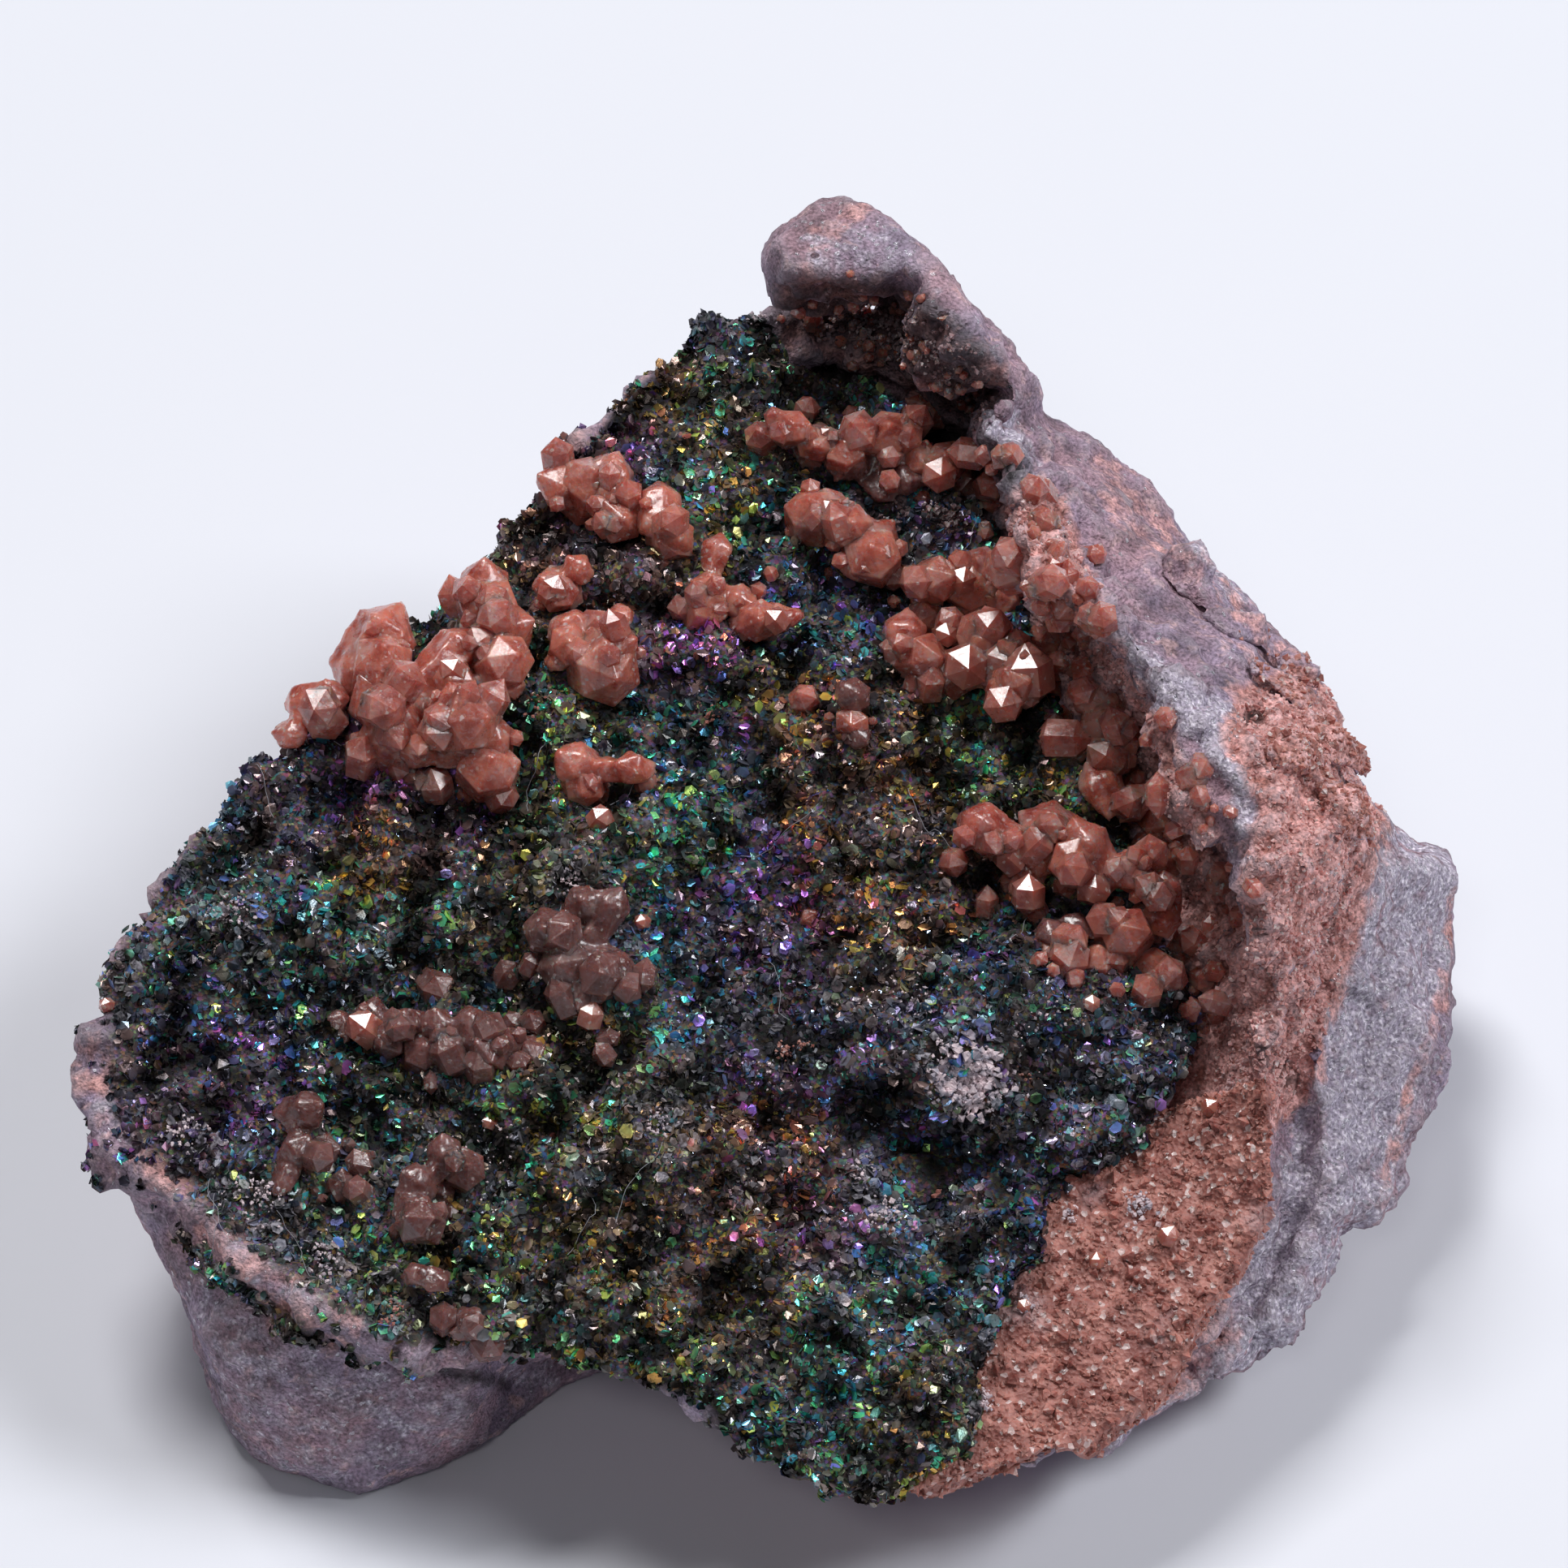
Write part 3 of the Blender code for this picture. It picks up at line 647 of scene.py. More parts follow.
class Recipe:
    """Builds one material of nodes round a Principled shader, on Object coordinates."""

    def __init__(self, name: str) -> None:
        """Starts a material.

        Args:
            name: The name of the material.
        """
        self.material = bpy.data.materials.new(name)
        self.material.use_nodes = True
        self.tree = self.material.node_tree
        self.shader = self.tree.nodes["Principled BSDF"]
        self.place = self.tree.nodes.new("ShaderNodeTexCoord").outputs["Object"]

    def feed(self, node: bpy.types.Node, socket: str | int, value: object) -> None:
        """Links an output to an input, or sets the input to a plain value.

        Args:
            node: The node that is fed.
            socket: The input's name or number.
            value: An output socket, a number or a colour.
        """
        if isinstance(value, bpy.types.NodeSocket):
            self.tree.links.new(value, node.inputs[socket])
        elif isinstance(value, tuple) and len(value) == 3:
            fits = len(node.inputs[socket].default_value)
            node.inputs[socket].default_value = (*value, 1.0)[:fits]
        else:
            node.inputs[socket].default_value = value

    def set(self, **values: object) -> None:
        """Feeds the shader. An underscore in a name stands for a space."""
        for name, value in values.items():
            self.feed(self.shader, name.replace("_", " "), value)

    def noise(self, size: float, detail: float = 3.0, twist: float = 0.0) -> bpy.types.NodeSocket:
        """Adds soft noise.

        Args:
            size: The size of its spots.
            detail: How much finer noise lies on the spots.
            twist: How far the spots are drawn out of shape.

        Returns:
            The noise, from 0 to 1.
        """
        node = self.tree.nodes.new("ShaderNodeTexNoise")
        self.feed(node, "Vector", self.place)
        self.feed(node, "Scale", 1.0 / (size * MM))
        self.feed(node, "Detail", detail)
        self.feed(node, "Distortion", twist)
        return node.outputs["Fac"]

    def cells(self, size: float, output: str = "Color") -> bpy.types.NodeSocket:
        """Adds a pattern of cells.

        Args:
            size: The size of the cells.
            output: "Color" for a random colour to each cell, "Distance" for its middle.

        Returns:
            The pattern.
        """
        node = self.tree.nodes.new("ShaderNodeTexVoronoi")
        self.feed(node, "Vector", self.place)
        self.feed(node, "Scale", 1.0 / (size * MM))
        return node.outputs[output]

    def channel(self, colour: bpy.types.NodeSocket, name: str) -> bpy.types.NodeSocket:
        """Splits a colour.

        Args:
            colour: The colour.
            name: Red, Green or Blue.

        Returns:
            That channel of the colour.
        """
        node = self.tree.nodes.new("ShaderNodeSeparateColor")
        self.feed(node, "Color", colour)
        return node.outputs[name]

    def ramp(
        self, factor: bpy.types.NodeSocket, stops: Sequence[tuple[float, RGB]]
    ) -> bpy.types.NodeSocket:
        """Turns a factor into a colour.

        Args:
            factor: The number to read, from 0 to 1.
            stops: The places on the ramp and their colours.

        Returns:
            The colour.
        """
        node = self.tree.nodes.new("ShaderNodeValToRGB")
        self.feed(node, "Fac", factor)
        elements = node.color_ramp.elements
        while len(elements) < len(stops):
            elements.new(0.5)
        for element, (position, colour) in zip(elements, sorted(stops), strict=True):
            element.position = position
            element.color = (*colour, 1.0)
        return node.outputs["Color"]

    def band(self, factor: bpy.types.NodeSocket, low: float, high: float) -> bpy.types.NodeSocket:
        """Stretches a part of a factor to run from 0 to 1.

        Args:
            factor: The number to read.
            low: What becomes 0.
            high: What becomes 1.

        Returns:
            The stretched factor.
        """
        node = self.tree.nodes.new("ShaderNodeMapRange")
        self.feed(node, "Value", factor)
        self.feed(node, "From Min", low)
        self.feed(node, "From Max", high)
        return node.outputs["Result"]

    def greys(self, factor: bpy.types.NodeSocket, low: Span, high: Span) -> bpy.types.NodeSocket:
        """Turns a factor into a grey, from two places on a ramp and the grey at each."""
        return self.ramp(factor, [(low[0], (low[1],) * 3), (high[0], (high[1],) * 3)])

    def mix(
        self, factor: object, first: object, second: object, blend: Blend = Blend.MIX
    ) -> bpy.types.NodeSocket:
        """Lays a second colour over a first.

        Args:
            factor: The share of the second colour.
            first: The colour below.
            second: The colour above.
            blend: How the two meet.

        Returns:
            The mixed colour.
        """
        node = self.tree.nodes.new("ShaderNodeMix")
        node.data_type = "RGBA"
        node.blend_type = blend.value
        self.feed(node, 0, factor)
        self.feed(node, 6, first)
        self.feed(node, 7, second)
        return node.outputs[2]

    def patches(
        self, size: float, detail: float, edges: Span, first: object, second: object
    ) -> bpy.types.NodeSocket:
        """Lays a second colour over a first in soft patches.

        Args:
            size: The size of the patches.
            detail: How ragged their edges are.
            edges: The noise at which a patch starts, and at which it is full.
            first: The colour below.
            second: The colour of the patches.

        Returns:
            The mixed colour.
        """
        return self.mix(self.band(self.noise(size, detail), *edges), first, second)

    def math(self, operation: str, first: object, second: object) -> bpy.types.NodeSocket:
        """Works out one number from two.

        Args:
            operation: What is done with them.
            first: The first number.
            second: The second number.

        Returns:
            The result.
        """
        node = self.tree.nodes.new("ShaderNodeMath")
        node.operation = operation
        self.feed(node, 0, first)
        self.feed(node, 1, second)
        return node.outputs[0]

    def edges(self, low: float = 0.5, high: float = 0.58) -> bpy.types.NodeSocket:
        """Where the surface is a raised edge, from its own curvature."""
        pointed = self.tree.nodes.new("ShaderNodeNewGeometry").outputs["Pointiness"]
        return self.band(pointed, low, high)

    def attribute(self, name: str) -> bpy.types.NodeSocket:
        """Reads the colour that an attribute of the mesh holds.

        Args:
            name: The name of the attribute.

        Returns:
            The colour.
        """
        node = self.tree.nodes.new("ShaderNodeAttribute")
        node.attribute_name = name
        return node.outputs["Color"]

    def bump(self, height: object, depth: float, below: object = None) -> bpy.types.NodeSocket:
        """Makes a normal from a height.

        Args:
            height: The height, from 0 to 1.
            depth: How deep the relief is.
            below: A normal that this one goes on top of.

        Returns:
            The normal.
        """
        node = self.tree.nodes.new("ShaderNodeBump")
        self.feed(node, "Distance", depth * MM)
        self.feed(node, "Height", height)
        if below is not None:
            self.feed(node, "Normal", below)
        return node.outputs["Normal"]


@dataclass(frozen=True)
class RockFinish:
    """Mauve-brown granular rock, red quartz stains, steel-grey breaks, painted highlight and
    shade.
    """

    name: str = "rock"
    mauve: RGB = (0.320, 0.250, 0.345)
    brown: RGB = (0.390, 0.245, 0.295)
    pink: RGB = (0.600, 0.400, 0.430)
    steel: RGB = (0.440, 0.390, 0.490)
    pale_steel: RGB = (0.840, 0.780, 0.880)
    deep_red: RGB = (0.400, 0.165, 0.140)
    red: RGB = (0.880, 0.480, 0.460)
    hollow_shade: RGB = (0.013, 0.010, 0.011)
    edge_highlight: RGB = (0.62, 0.55, 0.62)
    glint: RGB = (0.55, 0.55, 0.60)
    crumb: RGB = (0.10, 0.085, 0.09)
    grain: float = 0.12
    flecks: float = 0.0

    def make(self) -> bpy.types.Material:
        """Builds the material. The attribute is red for quartz, green for steel, blue for painted
        shade.

        Returns:
            The material.
        """
        kit = Recipe(self.name)
        stored = kit.attribute(TONE)
        red, steel = kit.channel(stored, "Red"), kit.channel(stored, "Green")
        dark = kit.channel(stored, "Blue")
        colour = kit.patches(3.0, 5.0, (0.40, 0.60), self.mauve, self.brown)
        colour = kit.mix(kit.band(kit.noise(0.6, 5.0, 0.5), 0.56, 0.68), colour, self.pink)
        shade = kit.greys(kit.noise(1.4, 5.0), (0.35, 0.62), (0.62, 1.2))
        colour = kit.mix(1.0, colour, shade, Blend.MULTIPLY)
        broken = kit.band(kit.math("ADD", kit.noise(0.55, 5.0), steel), 0.95, 1.25)
        grey = kit.patches(0.18, 4.0, (0.50, 0.64), self.steel, self.pale_steel)
        colour = kit.mix(broken, colour, grey)
        quartz = kit.patches(0.45, 5.0, (0.38, 0.62), self.deep_red, self.red)
        patchy = kit.band(kit.math("ADD", red, kit.noise(0.9, 5.0)), 0.80, 1.05)
        colour = kit.mix(patchy, colour, quartz)
        speckle = kit.greys(kit.noise(self.grain, 4.0), (0.32, 0.42), (0.68, 1.45))
        colour = kit.mix(0.9, colour, speckle, Blend.MULTIPLY)
        # Painted highlight: raised edges are made paler
        colour = kit.mix(kit.math("MULTIPLY", kit.edges(), 0.35), colour, self.edge_highlight)
        cell = kit.channel(kit.cells(self.grain), "Red")
        glint = kit.band(kit.math("ADD", cell, kit.math("MULTIPLY", steel, 0.05)), 0.985, 0.995)
        colour = kit.mix(kit.math("MULTIPLY", glint, 0.6), colour, self.glint)
        # Painted shade: the blue share darkens the colour towards near black
        hollow_shade = self._flecked(kit) if self.flecks else self.hollow_shade
        colour = kit.mix(dark, colour, hollow_shade)
        relief = kit.bump(kit.noise(0.34, 6.0), 0.18)
        relief = kit.bump(kit.noise(0.09, 4.0), 0.06, relief)
        relief = kit.bump(kit.cells(self.grain, "Distance"), 0.03, relief)
        roughness = kit.greys(glint, (0.0, 0.72), (1.0, 0.24))
        kit.set(Base_Color=colour, Roughness=roughness, Normal=relief, Specular_IOR_Level=0.3)
        kit.set(Metallic=kit.math("MULTIPLY", glint, 0.6))
        return kit.material

    def _flecked(self, kit: Recipe) -> bpy.types.NodeSocket:
        """Sprinkles the dark colour of the painted shade with fine flecks in every film colour.

        Args:
            kit: The recipe of the material.

        Returns:
            The flecked colour.
        """
        cell = kit.cells(0.12)
        tint = kit.ramp(kit.channel(cell, "Red"), FilmFinish().colours)
        lit = kit.math("MULTIPLY", kit.band(kit.channel(cell, "Green"), 0.3, 1.0), self.flecks)
        grey = kit.patches(0.2, 4.0, (0.35, 0.65), self.hollow_shade, self.crumb)
        shade = kit.greys(kit.noise(1.5, 6.0), (0.40, 0.08), (0.60, 1.3))
        return kit.mix(1.0, kit.mix(lit, grey, tint), shade, Blend.MULTIPLY)


@dataclass(frozen=True)
class SugarFinish:
    """Salmon-red sugary quartz with pale sparkling grains."""

    name: str = "sugary_quartz"
    deep: RGB = (0.260, 0.085, 0.070)
    salmon: RGB = (0.540, 0.235, 0.195)
    pale: RGB = (0.800, 0.640, 0.620)
    dust: RGB = (0.480, 0.370, 0.400)
    grain: float = 0.17

    def make(self) -> bpy.types.Material:
        """Builds the material.

        Returns:
            The material.
        """
        kit = Recipe(self.name)
        colour = kit.patches(0.8, 5.0, (0.36, 0.62), self.deep, self.salmon)
        cell = kit.channel(kit.cells(self.grain), "Green")
        sparkle = kit.band(cell, 0.90, 0.93)
        colour = kit.mix(kit.math("MULTIPLY", sparkle, 0.75), colour, self.pale)
        dusty = kit.band(kit.noise(2.2, 4.0), 0.58, 0.72)
        colour = kit.mix(kit.math("MULTIPLY", dusty, 0.5), colour, self.dust)
        relief = kit.bump(kit.cells(self.grain, "Distance"), 0.07)
        relief = kit.bump(kit.noise(0.10, 3.0), 0.03, relief)
        roughness = kit.greys(sparkle, (0.0, 0.48), (1.0, 0.14))
        kit.set(Base_Color=colour, Roughness=roughness, Normal=relief)
        kit.set(Subsurface_Weight=0.3, Subsurface_Scale=0.0004)
        kit.set(Subsurface_Radius=(1.0, 0.35, 0.25))
        return kit.material


@dataclass(frozen=True)
class QuartzFinish:
    """Cloudy quartz with frosted faces, painted highlights on its edges and streaks of dust."""

    name: str = "red_quartz"
    deep: RGB = (0.420, 0.070, 0.044)
    brick: RGB = (0.840, 0.260, 0.175)
    pale: RGB = (0.860, 0.520, 0.460)
    dust: RGB = (0.640, 0.520, 0.560)
    fleck: RGB = (0.85, 0.78, 0.76)
    dust_share: float = 0.42
    roughness: Span = (0.16, 0.42)
    clear: float = 0.30
    coat: float = 0.7

    def make(self) -> bpy.types.Material:
        """Builds the material.

        Returns:
            The material.
        """
        kit = Recipe(self.name)
        tone = kit.math("MULTIPLY", kit.channel(kit.cells(1.5), "Red"), 0.16)
        cloud = kit.band(kit.math("ADD", kit.noise(0.7, 5.0, 0.4), tone), 0.42, 0.74)
        colour = kit.mix(cloud, self.deep, self.brick)
        frost = kit.math("MULTIPLY", kit.band(kit.noise(1.1, 5.0, 0.8), 0.53, 0.70), 0.55)
        colour = kit.mix(frost, colour, self.pale)
        fleck = kit.band(kit.channel(kit.cells(0.10), "Green"), 0.965, 0.975)
        colour = kit.mix(kit.math("MULTIPLY", fleck, 0.6), colour, self.fleck)
        streaks = kit.band(kit.noise(0.22, 6.0, 1.5), 0.50, 0.70)
        dusty = kit.math("MULTIPLY", streaks, self.dust_share)
        colour = kit.mix(dusty, colour, self.dust)
        # Painted highlight: raised edges are made paler
        edge = kit.math("MULTIPLY", kit.edges(0.51, 0.60), 0.12)
        colour = kit.mix(edge, colour, self.pale)
        relief = kit.bump(kit.noise(0.30, 4.0), 0.05)
        relief = kit.bump(kit.cells(0.16, "Distance"), 0.012, relief)
        relief = kit.bump(kit.noise(0.06, 2.0), 0.008, relief)
        low, high = self.roughness
        roughness = kit.greys(kit.noise(0.5, 3.0), (0.3, low), (0.7, high))
        kit.set(Base_Color=colour, Roughness=roughness, Normal=relief)
        kit.set(Subsurface_Weight=0.7, Subsurface_Scale=0.0010)
        kit.set(Subsurface_Radius=(1.0, 0.22, 0.10), Coat_Weight=self.coat, Coat_Roughness=0.22)
        kit.set(Transmission_Weight=self.clear, IOR=1.54)
        return kit.material


@dataclass(frozen=True)
class FilmFinish:
    """Hematite flakes whose thin film gives every colour, from gold to green."""

    colours: tuple[tuple[float, RGB], ...] = (
        (0.00, (0.80, 0.50, 0.10)),
        (0.12, (0.78, 0.33, 0.10)),
        (0.24, (0.70, 0.18, 0.18)),
        (0.34, (0.66, 0.16, 0.58)),
        (0.45, (0.36, 0.20, 0.82)),
        (0.56, (0.11, 0.28, 0.82)),
        (0.67, (0.07, 0.62, 0.72)),
        (0.78, (0.10, 0.70, 0.32)),
        (0.90, (0.56, 0.72, 0.14)),
        (1.00, (0.80, 0.50, 0.10)),
    )
    brown: RGB = (0.190, 0.125, 0.110)
    slate: RGB = (0.105, 0.108, 0.140)
    deep_dust: RGB = (0.060, 0.058, 0.074)
    dust: RGB = (0.420, 0.400, 0.450)

    def make(self) -> bpy.types.Material:
        """Builds the material. The attribute is red for the film, green for dust, blue for painted
        glint brightness.

        Returns:
            The material.
        """
        kit = Recipe("iridescent_flakes")
        stored = kit.attribute(FLAKE)
        film, dusty = kit.channel(stored, "Red"), kit.channel(stored, "Green")
        light = kit.channel(stored, "Blue")
        drift = kit.math("MULTIPLY", kit.math("SUBTRACT", kit.noise(0.25, 2.0), 0.5), 0.14)
        film = kit.math("FRACT", kit.math("ADD", kit.math("ADD", film, drift), 1.0), 0.0)
        colour = kit.ramp(film, self.colours)
        plain = kit.patches(1.2, 3.0, (0.40, 0.60), self.brown, self.slate)
        # Painted glints: the film colour shows only where the painted brightness is high
        colour = kit.mix(light, plain, colour)
        shade = kit.greys(kit.noise(1.5, 6.0), (0.40, 0.06), (0.60, 1.6))
        colour = kit.mix(0.9, colour, shade, Blend.MULTIPLY)
        powder = kit.patches(0.16, 4.0, (0.42, 0.62), self.deep_dust, self.dust)
        colour = kit.mix(dusty, colour, powder)
        roughness = kit.greys(dusty, (0.0, 0.25), (1.0, 0.8))
        metal = kit.greys(dusty, (0.0, 0.6), (0.7, 0.0))
        relief = kit.bump(kit.noise(0.06, 2.0), 0.006)
        kit.set(Base_Color=colour, Roughness=roughness, Metallic=metal, Normal=relief)
        return kit.material


@dataclass(frozen=True)
class SparkFinish:
    """Bare silvery hematite that flashes white and pale blue."""

    silver: RGB = (0.78, 0.82, 0.90)
    blue: RGB = (0.42, 0.58, 0.82)

    def make(self) -> bpy.types.Material:
        """Builds the material.

        Returns:
            The material.
        """
        kit = Recipe("silver_sparks")
        colour = kit.patches(0.5, 3.0, (0.40, 0.60), self.silver, self.blue)
        relief = kit.bump(kit.noise(0.05, 2.0), 0.004)
        roughness = kit.greys(kit.noise(0.2, 2.0), (0.3, 0.12), (0.7, 0.30))
        kit.set(Base_Color=colour, Roughness=roughness, Metallic=1.0, Normal=relief)
        return kit.material


@dataclass(frozen=True)
class PowderFinish:
    """Pale lavender-grey powder in crumbly lumps."""

    pale: RGB = (0.820, 0.670, 0.700)
    grey: RGB = (0.320, 0.300, 0.360)

    def make(self) -> bpy.types.Material:
        """Builds the material.

        Returns:
            The material.
        """
        kit = Recipe("pale_powder")
        colour = kit.patches(0.35, 4.0, (0.36, 0.60), self.grey, self.pale)
        relief = kit.bump(kit.noise(0.08, 3.0), 0.02)
        roughness = kit.greys(kit.noise(0.2, 2.0), (0.3, 0.5), (0.7, 0.85))
        kit.set(Base_Color=colour, Roughness=roughness, Normal=relief)
        return kit.material


@dataclass(frozen=True)
class LintFinish:
    """Pale lint fibres."""

    pale: RGB = (0.45, 0.46, 0.52)
    grey: RGB = (0.28, 0.27, 0.30)

    def make(self) -> bpy.types.Material:
        """Builds the material.

        Returns:
            The material.
        """
        kit = Recipe("lint")
        colour = kit.mix(kit.noise(0.4, 2.0), self.pale, self.grey)
        kit.set(Base_Color=colour, Roughness=0.6)
        return kit.material


@dataclass(frozen=True)
class FloorFinish:
    """The pale sheet that the specimen lies on."""

    blue_white: RGB = (0.80, 0.825, 0.89)
    white: RGB = (0.82, 0.84, 0.90)

    def make(self) -> bpy.types.Material:
        """Builds the material.

        Returns:
            The material.
        """
        kit = Recipe("pale_sheet")
        cloud = kit.mix(kit.noise(30.0, 2.0), self.blue_white, self.white)
        kit.set(Base_Color=cloud, Roughness=0.95, Specular_IOR_Level=0.05)
        return kit.material


def finish_piece(
    piece: bpy.types.Object,
    material: bpy.types.Material,
    stands_for: Sequence[str] = (),
) -> None:
    """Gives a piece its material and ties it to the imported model.

    Args:
        piece: The finished piece.
        material: Its material.
        stands_for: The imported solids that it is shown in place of.
    """
    piece.data.materials.clear()
    piece.data.materials.append(material)
    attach(piece, "root")
    if stands_for:
        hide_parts(*stands_for)
    piece.data.calc_loop_triangles()
    LOG.info("%s: %d triangles", piece.name, len(piece.data.loop_triangles))


def tree_of(piece: bpy.types.Object) -> BVHTree:
    """Reads a piece's surface, ready to be hit by rays."""
    return BVHTree.FromObject(piece, bpy.context.evaluated_depsgraph_get())


@dataclass(frozen=True)
class Tones:
    """Where the rock is stained by red quartz, where it is steel grey and where shade is painted
    on it.
    """

    red: tuple[Stroke, ...] = (
        Stroke(((1000, 290), (1080, 245), (1150, 300), (1200, 360)), 22, 0.3),
        Stroke(((1010, 385), (1100, 420), (1190, 470)), 60, 0.45),
        Stroke(((1380, 600), (1480, 680), (1560, 760), (1640, 880)), 56, 0.36),
        Stroke(((1275, 640), (1330, 800), (1400, 920), (1460, 1040), (1490, 1180)), 44, 0.75),
        Stroke(((1590, 900), (1640, 970), (1610, 1080), (1580, 1190), (1550, 1290)), 78, 0.95),
        Stroke(((1560, 1330), (1480, 1330), (1440, 1290)), 56, 0.85),
        Stroke(((100, 1300), (180, 1420), (350, 1500)), 40, 0.42),
        Stroke(((690, 570), (760, 470), (830, 420)), 22, 0.42),
        Stroke(((280, 1530), (400, 1620)), 60, 0.38),
        Stroke(((1792, 1100), (1776, 1240), (1725, 1380), (1690, 1540)), 11, 0.4),
        Stroke(((1470, 1560), (1500, 1640), (1440, 1760)), 40, 0.42),
    )
    steel: tuple[Stroke, ...] = (
        Stroke(((1200, 450), (1240, 560), (1290, 690), (1350, 790), (1430, 850)), 36, 0.8),
        Stroke(((1430, 850), (1510, 900), (1550, 980), (1560, 1060)), 36, 0.85),
        Stroke(((1010, 305), (1100, 310)), 40, 0.52),
        Stroke(((1150, 370), (1250, 500)), 22, 0.5),
        Stroke(((1730, 1010), (1790, 1080)), 34, 0.9),
        Stroke(((1480, 650), (1530, 720)), 26, 0.8),
        Stroke(((1700, 1120), (1690, 1300), (1640, 1500), (1540, 1670), (1440, 1780)), 90, 0.74),
        Stroke(((1765, 1060), (1778, 1180), (1735, 1290), (1700, 1330)), 16, 0.75),
        Stroke(((1670, 1340), (1640, 1420), (1600, 1500)), 26, 0.5),
        Stroke(((1570, 1560), (1520, 1660), (1440, 1760)), 34, 0.55),
        Stroke(((300, 1620), (360, 1780), (520, 1730)), 90, 0.52),
        Stroke(((140, 1360), (300, 1520), (430, 1610), (600, 1650)), 34, 0.6),
        Stroke(((640, 1690), (760, 1710), (860, 1760)), 30, 0.5),
    )
    # Painted shade in caves, hollows and cracks, under overhangs and on the foot
    dark: tuple[Stroke, ...] = (
        Stroke(((1030, 475), (1110, 520), (1200, 560), (1240, 575)), 26, 1.0),
        Stroke(((1185, 640), (1215, 690)), 20, 0.9),
        Stroke(((990, 385), (1060, 395), (1130, 430), (1195, 480)), 40, 0.78),
        Stroke(((1015, 372), (1080, 366), (1140, 388), (1200, 440)), 26, 0.75),
        Stroke(((1720, 1010), (1660, 1090), (1610, 1210), (1580, 1300)), 5, 0.45),
        Stroke(((1580, 1240), (1640, 1212), (1690, 1235)), 5, 0.45),
        Stroke(((1600, 1440), (1640, 1460), (1700, 1430)), 5, 0.35),
        Stroke(((1545, 885),), 13, 0.95),
        Stroke(((210, 1470), (330, 1570), (480, 1670), (620, 1705)), 8, 0.8),
        Stroke(((1310, 740), (1350, 850), (1440, 1000), (1490, 1180)), 14, 0.5),
        Stroke(((700, 1740), (900, 1810), (1040, 1870)), 16, 0.6),
        Stroke(((1560, 1300), (1590, 1330)), 14, 0.7),
        Stroke(((330, 1620), (380, 1780), (520, 1740)), 90, 0.06),
    )

    def shares(self, piece: bpy.types.Object) -> np.ndarray:
        """Works out the tones of a piece.

        Args:
            piece: The piece.

        Returns:
            The red, the steel and the painted shade share of each vertex.
        """
        places = coordinates(piece.data)
        facing = facing_camera(places, vertex_normals(piece.data))
        tones = [drawn(strokes, places) * facing for strokes in (self.red, self.steel, self.dark)]
        return np.stack(tones, axis=1)


TONES = Tones()
# The front edge of the rock and of the band, drawn in below the crust
FRONT_UNDERSIDE = (
    Pull(((660, 1720), (860, 1790), (1060, 1900)), 60, -0.6, 0.0, 1.5),
    Pull(((1150, 1900), (1300, 1850)), 50, -0.3, 0.0, 0.9),
)
# The hollows of the crust, under which the rock gives way by twice as much
CRUST_HOLLOWS = (
    Pull(((900, 960), (930, 1130), (1000, 1180)), 45, -0.7),
    Pull(((1060, 1430), (1180, 1470), (1290, 1450)), 34, -0.4),
    Pull(((1130, 1560), (1200, 1500)), 28, -0.6),
    Pull(((760, 880), (830, 850)), 35, -0.5),
    Pull(((640, 1240), (560, 1200)), 35, -0.4),
    Pull(((950, 1390), (900, 1340)), 30, -0.5),
    Pull(((1010, 700), (1100, 770)), 50, -0.4),
    Pull(((1100, 1080),), 40, -0.4),
    Pull(((450, 1400), (600, 1450)), 40, -0.3),
    Pull(((930, 1500),), 35, -0.5),
)


